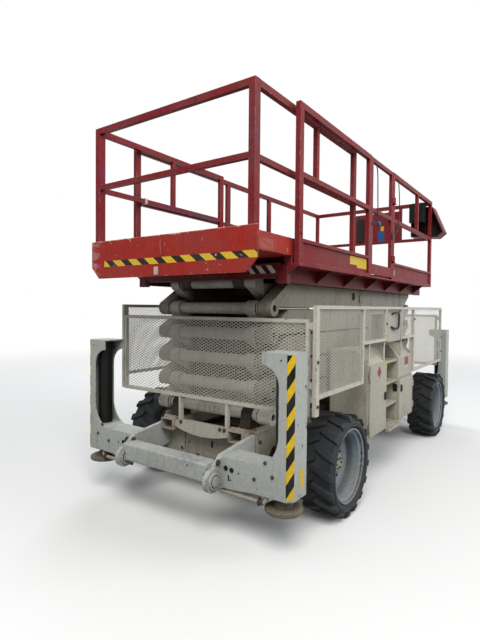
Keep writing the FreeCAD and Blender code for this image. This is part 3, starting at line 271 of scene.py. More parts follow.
def close(name, material, body, smooth=35.0):
    """Names the piece in hand, gives it its finish and lets it ride on a body."""
    piece = bpy.context.object
    bpy.ops.object.select_all(action="DESELECT")
    piece.select_set(True)
    bpy.ops.object.transform_apply(location=True, rotation=True, scale=True)
    bpy.ops.object.shade_smooth_by_angle(angle=math.radians(smooth))
    piece.name = piece.data.name = name
    piece.data.materials.clear()
    piece.data.materials.append(material)
    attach(piece, body)
    return piece


def disc(sides, radius, depth, at):
    """Opens a disc round the axis Y for editing, with its middle at that Y."""
    begin(bpy.ops.mesh.primitive_cylinder_add, vertices=sides, radius=radius, depth=depth,
          location=(0.0, at, 0.0), rotation=(math.pi / 2, 0.0, 0.0))


def stepped_disc(sides, radius, depth, at, rim, step):
    """A disc whose front is moved within its rim."""
    disc(sides, radius, depth, at)
    pick_faces(lambda middle, normal: normal.y < -0.9)
    bpy.ops.mesh.inset(thickness=rim)
    move(0.0, step, 0.0)
    end()


def bolt_head(radius, height):
    """A hexagon head on its washer, at the origin, facing -Y."""
    stepped_disc(6, radius, height, -height / 2 - 0.002, radius * 0.16, -height * 0.16)
    head = bpy.context.object
    stepped_disc(20, radius * 1.45, 0.0035, -0.00125, radius * 0.2, -0.0006)
    join([bpy.context.object, head])


def both_ends(spots):
    """Places at the two sides and the two ends for (x, y, z) at the right near end."""
    return [(side * x, end_sign * y, z, 0.0 if end_sign * y < 0 else 180.0)
            for side in (1, -1) for end_sign in (1, -1) for x, y, z in spots]


END_PLATE_Y = -1.9601
bolt_steel = painted("Dull bolt steel", shade(82, 78, 70), Grime=shade(50, 44, 36),
                     Bare=shade(98, 62, 42), Grime_share=0.5, Streaks=0.0, Chips=0.2)
bolt_head(0.013, 0.010)
repeat(both_ends([(0.302, END_PLATE_Y, 0.437), (0.541, END_PLATE_Y, 0.628),
                  (0.118, END_PLATE_Y, 0.395)]))
close("end_plate_bolts", bolt_steel, "base")


def plain_finish(name, colour, rough=0.45):
    """A printed film, a moulding, and also the painted shade inside holes, scuffed a little."""
    material = new_finish(name, gloss=0.3)
    tree = material.node_tree
    scuffs = soft_step(tree, noise(tree, object_place(tree), 34.0, 6.0, 0.65), 0.5, 0.72)
    worn = tint(tree, mult(tree, scuffs, 0.35), colour, shade(132, 124, 110), "MULTIPLY")
    cover(material, worn, calc(tree, "ADD", rough, mult(tree, scuffs, 0.3)))
    return material


def sheet(width, height, corner=0.0, segments=3):
    """Opens a flat sheet for editing, along X and Y, with its corners rounded."""
    begin(bpy.ops.mesh.primitive_plane_add, size=1.0)
    bpy.ops.transform.resize(value=(width, height, 1.0))
    if corner:
        bpy.ops.mesh.bevel(offset=corner, segments=segments, affect="VERTICES")


def stand(side, spot):
    """Puts the piece in hand at a spot, its X, Y, Z as the width, height and front of a side."""
    angles = {"-Y": (90, 0, 0), "+Y": (90, 0, 180), "+X": (90, 0, 90), "-X": (90, 0, -90),
              "+Z": (0, 0, 0), "lid": (49.8, 0, 90)}[side]
    piece = bpy.context.object
    piece.rotation_euler = [math.radians(angle) for angle in angles]
    piece.location = spot


def label(name, spot, width, height, side, material, body, thick=0.0012, corner=0.006):
    """A blank sticker or plate: rounded corners, a raised border and a thin edge."""
    sheet(width, height, corner)
    extrude(0.0, 0.0, thick)
    bpy.ops.mesh.inset(thickness=min(width, height) * 0.07)
    move(0.0, 0.0, -min(thick * 0.2, 0.001))
    outward()
    end()
    stand(side, spot)
    close(name, material, body, 20.0)


SIDES, ENDS = (("right", 1), ("left", -1)), (("near", -1), ("far", 1))
# Holes, slots and gaps are not cut. Shut discs and plates in near black stand in them, and their
# black is painted shade.
painted_shade_black = plain_finish("Painted shade inside a hole", shade(14, 13, 12), 0.8)
label("end_plate_slot", (0.042, END_PLATE_Y, 0.520), 0.022, 0.062, "-Y", painted_shade_black, "base",
      corner=0.010)
for side_name, side in SIDES:
    label(f"end_plate_stiffener_{side_name}", (side * 0.2975, END_PLATE_Y, 0.535), 0.062, 0.215,
          "-Y", cream, "base", 0.007, 0.003)


# The slide channels and their tie plate. Cream like the tray, but the sliding pair has
# rubbed the channels, so they are rusty at their lips and inside.
def object_axes(tree):
    """X, Y and Z of a point on the machine."""
    return put(tree, "ShaderNodeSeparateXYZ", {0: object_place(tree)}).outputs


def size_of(tree, value):
    """A value without its sign."""
    return put(tree, "ShaderNodeMath", {0: value}, operation="ABSOLUTE").outputs[0]


def feed(material, socket, value):
    """Links a value to a socket of the wear group in a painted material."""
    tree = material.node_tree
    tree.links.new(value, tree.nodes["Group"].inputs[socket])


rust_steel = painted("Rusty channel paint", shade(176, 168, 148), Grime=shade(92, 56, 38),
                     Bare=shade(124, 78, 56), Grime_share=0.85, Streaks=0.3, Chips=0.5, Edges=0.6)
tree = rust_steel.node_tree
out = size_of(tree, object_axes(tree)["X"])
for socket, tie_plate, channel in (("Grime share", 0.12, 0.4), ("Edges", 0.1, 0.7)):
    feed(rust_steel, socket, soft_step(tree, out, 0.24, 0.32, (tie_plate, channel)))
rust = soft_step(tree, noise(tree, object_place(tree), 7.0, 6.0), 0.42, 0.6)
rust = mult(tree, rust, soft_step(tree, out, 0.26, 0.34, (0.02, 0.25)))
feed(rust_steel, "Paint", tint(tree, rust, shade(190, 187, 172), shade(136, 96, 72)))
dress(rust_steel, "slide_channels")
bolt_head(0.012, 0.010)
repeat([(x, -2.0623, 0.699, 0.0) for x in (-0.232, 0.250, 0.205)])
close("tie_plate_bolts", bolt_steel, "base")


# The outrigger towers and the beams between them. Thick plate in whiter paint than the
# chassis, chipped to a dark primer, with a hazard band down each outer front corner.
def between(tree, value, low, high, blur=0.0008):
    """1 where a value lies between two others."""
    return mult(tree, soft_step(tree, value, low - blur, low + blur),
                soft_step(tree, value, high + blur, high - blur))


def bars(tree, value, pitch, shift, share):
    """1 on the bars of a stripe that repeats by a pitch along a value."""
    turns = calc(tree, "ADD", calc(tree, "DIVIDE", value, pitch), shift)
    part = put(tree, "ShaderNodeMath", {0: turns}, operation="FRACT").outputs[0]
    return between(tree, part, 0.0, share, 0.006)


tower_paint, stripe_black = shade(184, 188, 182), shade(8, 8, 9)
white = painted("White tower paint", tower_paint, Grime=shade(98, 92, 80), Bare=shade(64, 58, 52),
                Grime_share=0.32, Streaks=0.24, Chips=0.5, Splash_height=0.5)
tree = white.node_tree
axes = object_axes(tree)
out_x, out_y = size_of(tree, axes["X"]), size_of(tree, axes["Y"])
# The band fills the face of the cut corner, where X and Y together are largest.
corner = soft_step(tree, calc(tree, "ADD", out_x, out_y), 3.4465, 3.4475)
corner = mult(tree, corner, between(tree, axes["Z"], 0.43, 1.402))
across = mult(tree, calc(tree, "SUBTRACT", out_x, out_y), 1.082)
yellow = bars(tree, calc(tree, "SUBTRACT", axes["Z"], across), 0.182, -0.071, 0.48)
hazard = tint(tree, yellow, stripe_black, shade(232, 192, 34))
# A blue smear, rubbed off some other machine, crosses the near beam.
smear = noise(tree, stretched(tree, object_place(tree), (30.0, 30.0, 9.0)), 1.0, 5.0)
scuffed = mult(tree, between(tree, axes["X"], 0.13, 0.36, 0.05),
               between(tree, axes["Z"], 0.535, 0.592, 0.012),
               soft_step(tree, smear, 0.42, 0.62, (0.0, 0.45)))
base_paint = tint(tree, scuffed, tower_paint, shade(112, 120, 160))
feed(white, "Paint", tint(tree, corner, base_paint, hazard))
feed(white, "Grime share", soft_step(tree, corner, 0.0, 1.0, (0.32, 0.12)))
feed(white, "Chips", soft_step(tree, axes["Z"], 0.45, 0.385, (0.42, 1.35)))
dress(white, "towers_near", "towers_far", "cross_beams")


def four_corners(x, y, z, turn):
    """A place at the right far end and its mirror places, all turned with their side."""
    return [(side * x, end_sign * y, z, turn * side) for side in (1, -1) for end_sign in (1, -1)]


def opening(radius):
    """The mouth of a round hole with its burred lip, facing -Y, made as a shut disc for painted
    shade.
    """
    stepped_disc(24, radius, 0.003, -0.0008, radius * 0.14, 0.0018)


TOWER_FACE_Y, BEAM_FACE_Y = 2.4101, 2.5301
bolt_head(0.0095, 0.007)
repeat(both_ends([(0.872, -TOWER_FACE_Y, 0.647), (0.931, -TOWER_FACE_Y, 0.559),
                  (0.783, -TOWER_FACE_Y, 0.515)]))
close("tower_bolts", bolt_steel, "base")
bolt_head(0.017, 0.012)
repeat(four_corners(0.4511, 2.418, 0.583, -90.0) + four_corners(0.4911, 2.452, 0.585, 90.0))
close("cheek_bolts", bolt_steel, "base")
# Painted shade: black discs stand for the dark inside the booms' round holes.
opening(0.019)
repeat(both_ends([(0.534, -TOWER_FACE_Y, 0.541), (0.586, -TOWER_FACE_Y, 0.536)]))
close("boom_openings", painted_shade_black, "base")
# Painted shade: small black discs stand for the dark inside small holes in the towers and beams.
opening(0.006)
repeat(both_ends([(0.649, -TOWER_FACE_Y, 0.526), (0.578, -TOWER_FACE_Y, 0.462),
                  (0.993, -TOWER_FACE_Y, 1.363)])
       + [(0.264, -BEAM_FACE_Y, 0.540, 0.0), (-0.264, BEAM_FACE_Y, 0.540, 180.0)])
close("small_openings", painted_shade_black, "base")
# Painted shade: black plates stand for the dark inside the booms' slits.
for end_name, end_sign in ENDS:
    for side_name, side in SIDES:
        label(f"boom_slit_{end_name}_{side_name}", (side * 0.559, end_sign * TOWER_FACE_Y, 0.474),
              0.012, 0.046, "-Y" if end_sign < 0 else "+Y", painted_shade_black, "base", corner=0.005)


# The pivot pins in the cheek plates. Each cap is a round plate with a turned pin end let
# into it, and the gap round the pin is a black ring of painted shade.
def soften(width, segments=2, angle=30.0):
    """Rounds the sharp edges of the piece in hand."""
    bevel = bpy.context.object.modifiers.new("Rounded edges", "BEVEL")
    bevel.width, bevel.segments, bevel.angle_limit = width, segments, math.radians(angle)
    bpy.ops.object.modifier_apply(modifier=bevel.name)


PIN_X, HALF_PIN, PIN_Y, PIN_Z = 0.471, 0.036, 2.497, 0.460
pin_spots = [(side * (PIN_X + reach * HALF_PIN), end_sign * PIN_Y, PIN_Z, 90.0 * side * reach)
             for side in (1, -1) for end_sign in (1, -1) for reach in (1, -1)]
# Painted shade: a black ring stands in the gap round each pin.
stepped_disc(40, 0.047, 0.002, 0.0, 0.007, -0.0006)
repeat(pin_spots)
close("pin_gaps", painted_shade_black, "base")
stepped_disc(40, 0.041, 0.008, 0.0, 0.009, -0.0015)
soften(0.0015)
repeat(pin_spots)
close("pin_ends", white, "base")


# The short pipes under the booms. Steel pipe in cream, bent up into the tower behind a black
# nut. The towers' side plates carry a blank yellow sticker.
def bent_bar(name, spots, radius, material, body):
    """A round bar bent through a row of points, closed at both ends."""
    bpy.ops.object.select_all(action="DESELECT")
    bpy.ops.curve.primitive_nurbs_path_add()
    bar = bpy.context.object
    bar.data.splines.clear()
    line = bar.data.splines.new("NURBS")
    line.points.add(len(spots) - 1)
    for point, spot in zip(line.points, spots):
        point.co = (*spot, 1.0)
    line.use_endpoint_u, line.order_u, line.resolution_u = True, 3, 5
    bar.data.bevel_depth, bar.data.bevel_resolution, bar.data.use_fill_caps = radius, 3, True
    bpy.ops.object.convert(target="MESH")
    bpy.ops.object.mode_set(mode="EDIT")
    bpy.ops.mesh.select_all(action="SELECT")
    bpy.ops.mesh.remove_doubles(threshold=0.0001)
    outward()
    end()
    close(name, material, body, 50.0)


PIPE_Y, PIPE_Z = 2.398, 0.362
pipe_bend = ((0.485, PIPE_Y, 0.364), (0.600, PIPE_Y, 0.363), (0.780, PIPE_Y, PIPE_Z),
             (0.852, PIPE_Y, PIPE_Z), (0.872, 2.392, 0.372), (0.874, 2.388, 0.412))
for end_name, end_sign in ENDS:
    for side_name, side in SIDES:
        bent_bar(f"leg_pipe_{end_name}_{side_name}",
                 [(side * x, end_sign * y, z) for x, y, z in pipe_bend], 0.015, cream, "base")
bolt_head(0.021, 0.028)
repeat(four_corners(0.820, PIPE_Y, PIPE_Z, 90.0))
close("leg_pipe_nuts", bolt_steel, "base")
TOWER_SIDE_X = 1.0791
yellow_film = plain_finish("Yellow sticker film", shade(214, 178, 40))
label("tower_side_label", (TOWER_SIDE_X, -2.262, 0.546), 0.055, 0.125, "+X", yellow_film, "base")
label("tower_side_label_left", (-TOWER_SIDE_X, -2.262, 0.546), 0.055, 0.125, "-X", yellow_film,
      "base")

# The outrigger legs. A black barrel inside each tower, and a rod that ends in a round foot of
# bare, dusty steel. Rod and foot share the foot's finish, though the real rod is plated.
black = painted("Black paint", shade(16, 16, 18), Grime=shade(62, 58, 52), Bare=shade(80, 74, 68),
                Grime_share=0.14, Streaks=0.08, Chips=0.2, Splash_height=-1.0, Fading=0.0)
dress(black, "leg_barrels", "engine", "control_box")
foot_steel = painted("Foot plate steel", shade(128, 122, 106), Grime=shade(84, 72, 58),
                     Bare=shade(92, 60, 40), Grime_share=0.8, Streaks=0.1, Chips=0.6)
dress(foot_steel, "leg_near_right", "leg_near_left", "leg_far_right", "leg_far_left")

# The axles and knuckles. Cast and tube steel, black under road dust.
axle = painted("Dusty axle paint", shade(30, 30, 30), Grime=shade(84, 76, 64),
               Bare=shade(96, 62, 42), Grime_share=0.5, Streaks=0.1, Chips=0.4, Fading=0.0)
dress(axle, "drive_axle", "steer_axle", "knuckle_right", "knuckle_left")

# The wheels. Deep rims in grey-blue paint with a cream hub and a ring of nuts, in black
# bar-lug tyres whose treads are dusty in the grooves.
WHEEL_Z, NUT_CIRCLE, HUB_CIRCLE = 0.42, 0.122, 0.043
NUTS_X, HUB_BOLTS_X = 0.9642, 1.0081
rim_grey, step_grey, hub_cream = shade(140, 154, 163), shade(66, 72, 76), shade(176, 172, 152)


def length_of(tree, vector):
    return put(tree, "ShaderNodeVectorMath", {0: vector}, operation="LENGTH").outputs["Value"]


def round_axle(side, x, axle_y, circle, step):
    """Places on a wheel's outer side, on a circle round its axle, one every step degrees."""
    return [(side * x, axle_y + circle * math.cos(math.radians(angle)),
             WHEEL_Z + circle * math.sin(math.radians(angle)), 90.0 * side)
            for angle in range(0, 360, step)]


for end_name, axle_y in (("fixed", -1.472), ("steer", 1.574)):
    rim_paint = painted(f"Grey rim paint, {end_name} axle", rim_grey, Grime=shade(104, 92, 76),
                        Bare=shade(92, 62, 46), Grime_share=0.55, Streaks=0.08, Chips=0.4,
                        Splash_height=0.3)
    tree = rim_paint.node_tree
    centre = put(tree, "ShaderNodeVectorMath", {0: object_place(tree), 1: (0.0, axle_y, WHEEL_Z)},
                 operation="SUBTRACT").outputs["Vector"]
    radius = length_of(tree, stretched(tree, centre, (0.0, 1.0, 1.0)))
    ring = mult(tree, between(tree, radius, 0.236, 0.258, 0.004), 0.75)
    banded = tint(tree, ring, rim_grey, step_grey)
    feed(rim_paint, "Paint", tint(tree, soft_step(tree, radius, 0.1, 0.096), banded, hub_cream))
    dress(rim_paint, f"rim_{end_name}_right", f"rim_{end_name}_left")
    for side_name, side in SIDES:
        bolt_head(0.011, 0.014)
        repeat(round_axle(side, NUTS_X, axle_y, NUT_CIRCLE, 36))
        close(f"wheel_nuts_{end_name}_{side_name}", bolt_steel, f"wheel_{end_name}_{side_name}")
        bolt_head(0.007, 0.007)
        repeat(round_axle(side, HUB_BOLTS_X, axle_y, HUB_CIRCLE, 60))
        close(f"hub_bolts_{end_name}_{side_name}", bolt_steel, f"wheel_{end_name}_{side_name}")
rubber = new_finish("Tyre rubber", gloss=0.25)
tree = rubber.node_tree
place = object_place(tree)
grain = noise(tree, place, 160.0, 4.0, 0.7)
dusting = soft_step(tree, noise(tree, place, 7.0, 6.0, 0.65), 0.42, 0.7)
groove = soft_step(tree, openness(tree, 0.05, 6), 0.9, 0.4)
dusty = mult(tree, calc(tree, "ADD", dusting, groove), 0.2)
cover(rubber, tint(tree, dusty, shade(38, 41, 45), shade(88, 86, 80)),
      calc(tree, "ADD", 0.62, mult(tree, dusty, 0.5)),
      relief(tree, grain, 0.3, 0.001, 0.005))
dress(rubber, "tyre_fixed_right", "tyre_fixed_left", "tyre_steer_right", "tyre_steer_left")

# The scissor stack. Box-section arms in the chassis cream under old grease, paler low down,
# with painted light on the end tubes and painted shade deep inside. Keeper collars hold the
# inner arms on their tubes.
arm_cream, painted_shade_dark = shade(156, 151, 136), shade(40, 36, 30)
arm_paint = painted("Grimy arm paint with painted light and shade", arm_cream, Grime=shade(66, 60, 50), Grime_share=0.62,
                    Streaks=0.36, Chips=0.36, Splash_height=0.4)
tree = arm_paint.node_tree
axes = object_axes(tree)
sideways = size_of(tree, axes["X"])
lengthways = size_of(tree, calc(tree, "ADD", axes["Y"], 0.04))
low_down = soft_step(tree, axes["Z"], 0.96, 0.84)
# Painted light: the end tubes are painted in the paler cream, as if lit.
painted_light_tubes = mult(tree, soft_step(tree, sideways, 0.51, 0.49),
             soft_step(tree, lengthways, 1.76, 1.80, (0.0, 0.7)))
# Painted shade: deep inside the stack, between the arms' ends, the paint is dark.
inside = mult(tree, soft_step(tree, sideways, 0.46, 0.40),
              soft_step(tree, lengthways, 1.78, 1.68, (0.0, 0.8)))
paler_with_painted_light_and_shade = tint(tree, calc(tree, "MAXIMUM", low_down, painted_light_tubes), arm_cream, shade(210, 207, 194))
paler_with_painted_light_and_shade = tint(tree, inside, paler_with_painted_light_and_shade, painted_shade_dark)
# Painted shade: points between other parts go dark, the more enclosed the darker.
painted_shade_deep = soft_step(tree, openness(tree, 0.2, 8), 0.45, 0.1, (0.0, 0.85))
feed(arm_paint, "Paint", tint(tree, painted_shade_deep, paler_with_painted_light_and_shade, painted_shade_dark))
for level in range(1, 6):
    dress(arm_paint, f"outer_arms_{level}", f"inner_arms_{level}")
FIRST_PIN_Z, LEVEL_PITCH = 0.825, 0.2213
NEAR_TUBES_Y, FAR_TUBES_Y, COLLAR_X = -1.890, 1.810, 0.4845
for level in range(1, 6):
    begin(bpy.ops.mesh.primitive_cylinder_add, vertices=40, radius=0.0525, depth=0.014,
          end_fill_type="NOTHING", rotation=(0.0, math.pi / 2, 0.0))
    outward()
    end()
    wall = bpy.context.object.modifiers.new("Wall", "SOLIDIFY")
    wall.thickness, wall.offset = 0.010, 1.0
    bpy.ops.object.modifier_apply(modifier=wall.name)
    soften(0.0025)
    low, high = FIRST_PIN_Z + LEVEL_PITCH * (level - 1), FIRST_PIN_Z + LEVEL_PITCH * level
    repeat([(side * COLLAR_X, y, z, 0.0) for side in (1, -1)
            for y, z in ((NEAR_TUBES_Y, low), (FAR_TUBES_Y, high))])
    close(f"keeper_collars_{level}", arm_paint, f"outer_{level}")
grease = painted("Greased slide block", shade(40, 37, 33), Grime=shade(70, 58, 44),
                 Grime_share=0.8, Chips=0.1)
dress(grease, "bottom_slide_blocks", "top_slide_blocks")

# The lift cylinders. Black barrels, and chrome-plated rods that stay bright inside the stack.
dress(black, "lift_barrel_lower", "lift_barrel_upper")
plating = new_finish("Chrome rod plating")
tree = plating.node_tree
tree.nodes["Principled BSDF"].inputs["Metallic"].default_value = 1.0
film = noise(tree, object_place(tree), 12.0, 6.0, 0.6)
cover(plating, tint(tree, soft_step(tree, film, 0.4, 0.75), shade(196, 198, 200),
                    shade(118, 104, 86)), soft_step(tree, film, 0.35, 0.75, (0.14, 0.45)))
dress(plating, "lift_rod_lower", "lift_rod_upper")

# The platform. Deck, rails and gate are in a red that has faded and scratched, with a
# striped plate under the deck's near end and a blue smear on the left mid rail.
# The faded red's pale bare colour shows on its edges as a painted highlight, and in its chips as
# wear.
rail_red = shade(136, 20, 30)
dark_red = painted("Faded red paint", rail_red, Grime=shade(58, 30, 32), Bare=shade(176, 132, 128),
                   Grime_share=0.34, Streaks=0.2, Chips=0.34, Splash_height=-0.5, Fading=0.05,
                   Edges=0.4)
tree = dark_red.node_tree
axes = object_axes(tree)
plate = mult(tree, between(tree, axes["X"], 0.452, 0.706),
             between(tree, axes["Z"], 1.984, 2.046), soft_step(tree, axes["Y"], -2.0245, -2.0255))
slant = calc(tree, "ADD", axes["X"], mult(tree, axes["Z"], 0.85))
marks = tint(tree, bars(tree, slant, 0.097, 0.722, 0.5), stripe_black, shade(250, 244, 222))
# Painted shade: below the deck's lower edge the under-frame is painted a darker red.
painted_shade_under_deck = soft_step(tree, axes["Z"], 2.034, 2.030, (0.0, 0.8))
smeared_red_with_painted_shade = tint(tree, painted_shade_under_deck, rail_red, shade(96, 14, 20))
mid_rail = mult(tree, between(tree, axes["Z"], 2.700, 2.756),
                between(tree, axes["Y"], -1.93, -0.80, 0.02),
                soft_step(tree, axes["X"], -0.70, -0.74))
posts = mult(tree, between(tree, axes["Z"], 2.78, 2.92, 0.03),
             soft_step(tree, axes["Y"], -2.44, -2.47))
smeared = put(tree, "ShaderNodeClamp", {0: calc(tree, "ADD", mid_rail, posts)}).outputs[0]
smear = noise(tree, stretched(tree, object_place(tree), (16.0, 5.0, 9.0)), 1.0, 6.0)
smear = mult(tree, soft_step(tree, smear, 0.44, 0.6, (0.0, 0.45)), smeared)
smeared_red_with_painted_shade = tint(tree, smear, smeared_red_with_painted_shade, shade(74, 66, 110))
feed(dark_red, "Paint", tint(tree, plate, smeared_red_with_painted_shade, marks))
dress(dark_red, "deck", "main_rails", "gate", "extension_rails")
hood_red = shade(104, 18, 26)
shade_red = painted("Hood red paint", hood_red, Grime=shade(48, 26, 28), Grime_share=0.3,
                    Chips=0.3, Splash_height=-0.5)
tree = shade_red.node_tree
# Painted shade: inside the hood the red is painted dark, the darker the more enclosed.
inside = soft_step(tree, openness(tree, 0.3, 8), 0.75, 0.5)
feed(shade_red, "Paint", tint(tree, inside, hood_red, shade(34, 14, 16)))
dress(shade_red, "control_station")

# What the platform carries. Blank plates on its toe board, a document box and blank labels
# on the far panel, and the gate's latch with the rod and knob that release it.
black_plastic = plain_finish("Black moulding", shade(24, 24, 26), 0.5)
blue_film = plain_finish("Blue sticker film", shade(42, 84, 150))
white_film = plain_finish("White sticker film", shade(190, 184, 174))
TOE_BOARD_X, FAR_PANEL_Y = 0.8871, 1.9269
label("toe_board_plate", (TOE_BOARD_X, -0.790, 2.167), 0.420, 0.078, "+X", yellow_film,
      "platform", corner=0.004)
label("toe_board_small_plate", (0.8873, -0.706, 2.122), 0.250, 0.032, "+X", yellow_film,
      "platform", corner=0.003)
label("toe_board_white_label", (TOE_BOARD_X, 0.311, 2.129), 0.030, 0.062, "+X", white_film,
      "platform")
label("document_box", (-0.139, 1.9271, 2.922), 0.100, 0.350, "-Y", black_plastic, "platform",
      0.028, 0.010)
label("far_panel_blue_label", (0.179, FAR_PANEL_Y, 2.814), 0.095, 0.150, "-Y", blue_film,
      "platform")
label("far_panel_yellow_label", (0.196, FAR_PANEL_Y, 2.930), 0.050, 0.068, "-Y", yellow_film,
      "platform")
# Painted shade: black discs stand for the dark inside the platform's holes.
opening(0.011)
repeat([(0.720, -2.0264, 1.946, 0.0), (-0.720, -2.0264, 1.946, 0.0),
        (0.9052, -1.990, 2.276, 90.0), (-0.9052, -1.990, 2.276, -90.0)])
close("platform_openings", painted_shade_black, "platform")


def latch(name, spot, side, body):
    """A paddle latch: a dished surround with its paddle standing in it."""
    sheet(0.046, 0.078, 0.010, 4)
    extrude(0.0, 0.0, 0.008)
    bpy.ops.mesh.inset(thickness=0.006)
    extrude(0.0, 0.0, -0.005)
    bpy.ops.mesh.inset(thickness=0.004)
    extrude(0.0, 0.0, 0.008)
    bpy.ops.transform.rotate(value=0.06, orient_axis="X", center_override=(0.0, 0.03, 0.008))
    outward()
    end()
    soften(0.0012)
    stand(side, spot)
    close(name, black_plastic, body, 40.0)


latch("gate_latch", (0.9032, 0.158, 2.530), "+X", "gate")
bent_bar("gate_latch_rod", [(0.901, -0.372, 3.190), (0.916, -0.371, 3.150),
                            (0.917, -0.364, 2.900), (0.917, -0.350, 2.680),
                            (0.914, -0.342, 2.600)], 0.0055, black_plastic, "gate")
bent_bar("gate_latch_hook", [(0.914, -0.342, 2.600), (0.918, -0.400, 2.606),
                             (0.914, -0.470, 2.585), (0.901, -0.490, 2.560)],
         0.007, black_plastic, "gate")
begin(bpy.ops.mesh.primitive_cylinder_add, vertices=28, radius=0.026, depth=0.024,
      location=(0.922, -0.340, 2.592), rotation=(0.0, math.pi / 2, 0.0))
pick_faces(lambda middle, normal: normal.x > 0.9)
bpy.ops.mesh.inset(thickness=0.007)
move(0.006, 0.0, 0.0)
end()
soften(0.003)
close("gate_latch_knob", blue_film, "gate")
bent_bar("gate_stay", [(0.903, 0.362, 3.205), (0.916, 0.350, 3.120), (0.917, 0.380, 2.900),
                       (0.917, 0.385, 2.740), (0.916, 0.330, 2.620), (0.916, 0.270, 2.585),
                       (0.904, 0.225, 2.575)], 0.0055, black_plastic, "platform")


# The control panel. A plate on the top of the control box, with a joystick in its rubber
# boot, a red mushroom stop button and a row of small switches.
def turned_piece(rings, vertices=28):
    """A turned part that stands on the origin, as (radius, height) from its foot up."""
    begin(bpy.ops.mesh.primitive_circle_add, vertices=vertices, radius=rings[0][0],
          fill_type="NGON")
    last_radius, last_height = rings[0]
    for radius, height in rings[1:]:
        extrude(0.0, 0.0, height - last_height)
        bpy.ops.transform.resize(value=(radius / last_radius, radius / last_radius, 1.0),
                                 center_override=(0.0, 0.0, height))
        last_radius, last_height = radius, height
    outward()
    end()


PLATE_TOP_Z = 3.2181
label("control_plate", (0.7375, 1.8340, 3.2152), 0.172, 0.138, "+Z", bolt_steel, "platform",
      0.003, 0.008)
# The joystick moves by hand only, so like the other small controls it has no joint.
turned_piece([(0.022, 0.0), (0.022, 0.003), (0.015, 0.006), (0.017, 0.009), (0.011, 0.013),
              (0.012, 0.016), (0.0065, 0.019), (0.0055, 0.026)])
repeat([(0.700, 1.850, PLATE_TOP_Z, 0.0)])
close("joystick", black_plastic, "platform")
red_film = plain_finish("Red sticker film", shade(140, 34, 46))
turned_piece([(0.011, 0.0), (0.011, 0.007), (0.0185, 0.009), (0.0200, 0.013), (0.0185, 0.017),
              (0.0120, 0.019)])
repeat([(0.780, 1.862, PLATE_TOP_Z, 0.0)])
close("stop_button", red_film, "platform")
turned_piece([(0.0065, 0.0), (0.0065, 0.003), (0.0024, 0.004), (0.0032, 0.014),
              (0.0018, 0.016)], 16)
repeat([(0.682 + 0.028 * count, 1.792, PLATE_TOP_Z, 0.0) for count in range(5)])
close("toggle_switches", bolt_steel, "platform")

# The roll-out deck. It was repainted in a brighter orange red, and a hazard band of black
# and yellow runs across its kick plate from one cut corner to the other.
kick_paint = shade(176, 34, 22)
kick_red = painted("Orange red paint", kick_paint, Grime=shade(84, 40, 34),
                   Bare=shade(206, 176, 166), Grime_share=0.3, Streaks=0.24, Chips=0.46,
                   Splash_height=-0.5, Fading=0.05)
tree = kick_red.node_tree
axes = object_axes(tree)
place = object_place(tree)
strip = mult(tree, between(tree, axes["X"], -0.70, 0.87),
             between(tree, axes["Z"], 2.051, 2.101), soft_step(tree, axes["Y"], -2.5235, -2.5245))
slant = calc(tree, "ADD", axes["X"], mult(tree, axes["Z"], 1.29))
marks = tint(tree, bars(tree, slant, 0.1906, -0.108, 0.53), stripe_black, shade(236, 198, 50))
# One long upright scratch, and scrapes at the left cut corner.
wander = noise(tree, stretched(tree, place, (1.0, 1.0, 14.0)), 1.0, 3.0)
scratch_x = calc(tree, "ADD", axes["X"], mult(tree, wander, 0.016))
scratch = mult(tree, between(tree, scratch_x, -0.0245, -0.0205),
               between(tree, axes["Z"], 2.120, 2.238, 0.004), 0.8)
scratched = tint(tree, scratch, kick_paint, shade(206, 178, 170))
streaky = noise(tree, stretched(tree, place, (10.0, 1.0, 26.0)), 1.0, 6.0, 0.62)
scrape = mult(tree, soft_step(tree, streaky, 0.50, 0.58, (0.0, 0.6)),
              soft_step(tree, axes["X"], -0.73, -0.80))
scratched = tint(tree, scrape, scratched, shade(200, 152, 150))
feed(kick_red, "Paint", tint(tree, strip, scratched, marks))
for socket, plain_share, strip_share in (("Grime share", 0.3, 0.1), ("Streaks", 0.24, 0.06)):
    feed(kick_red, socket, soft_step(tree, strip, 0.0, 1.0, (plain_share, strip_share)))
feed(kick_red, "Chips", calc(tree, "ADD", soft_step(tree, axes["Z"], 2.258, 2.271, (0.0, 1.2)),
                             soft_step(tree, axes["X"], -0.74, -0.82, (0.5, 1.0))))
dress(kick_red, "extension_deck")
faded_film = plain_finish("Sun-bleached film", shade(158, 72, 64), 0.6)
label("kick_plate_label", (-0.077, -2.5251, 1.998), 0.046, 0.062, "-Y", white_film, "extension")
label("side_wall_label", (0.8462, -2.381, 2.158), 0.185, 0.075, "+X", faded_film, "extension",
      corner=0.003)


def square_bar(width, spot, length):
    """Opens a square bar for editing, which runs from a spot along +Y."""
    begin(bpy.ops.mesh.primitive_plane_add, size=width, location=spot,
          rotation=(math.pi / 2, 0.0, 0.0))
    extrude(0.0, length, 0.0)
    outward()


square_bar(0.056, (-0.814, -1.975, 2.730), 0.030)
pick_faces(lambda middle, normal: abs(normal.y) > 0.9)
bpy.ops.mesh.inset(thickness=0.004, use_individual=True)
end()
soften(0.002)
close("mid_rail_clamp", white_film, "extension")

# The guards, cabinets, doors and entry ladder. Sheet and tube in the chassis cream.
panel_cream = painted("Cream panel paint", shade(182, 178, 162), Grime_share=0.34, Streaks=0.3,
                      Chips=0.3, Splash_height=0.6)
dress(panel_cream, "cabinets_right", "cabinet_left", "door_right_near", "door_right_far",
      "door_left_near", "door_left_far", "ladder")
guard_cream = painted("Cream guard paint", shade(202, 199, 186), Grime_share=0.24, Streaks=0.2,
                      Chips=0.4, Splash_height=0.4, Edges=0.15)
dress(guard_cream, "end_guards", "side_guards")

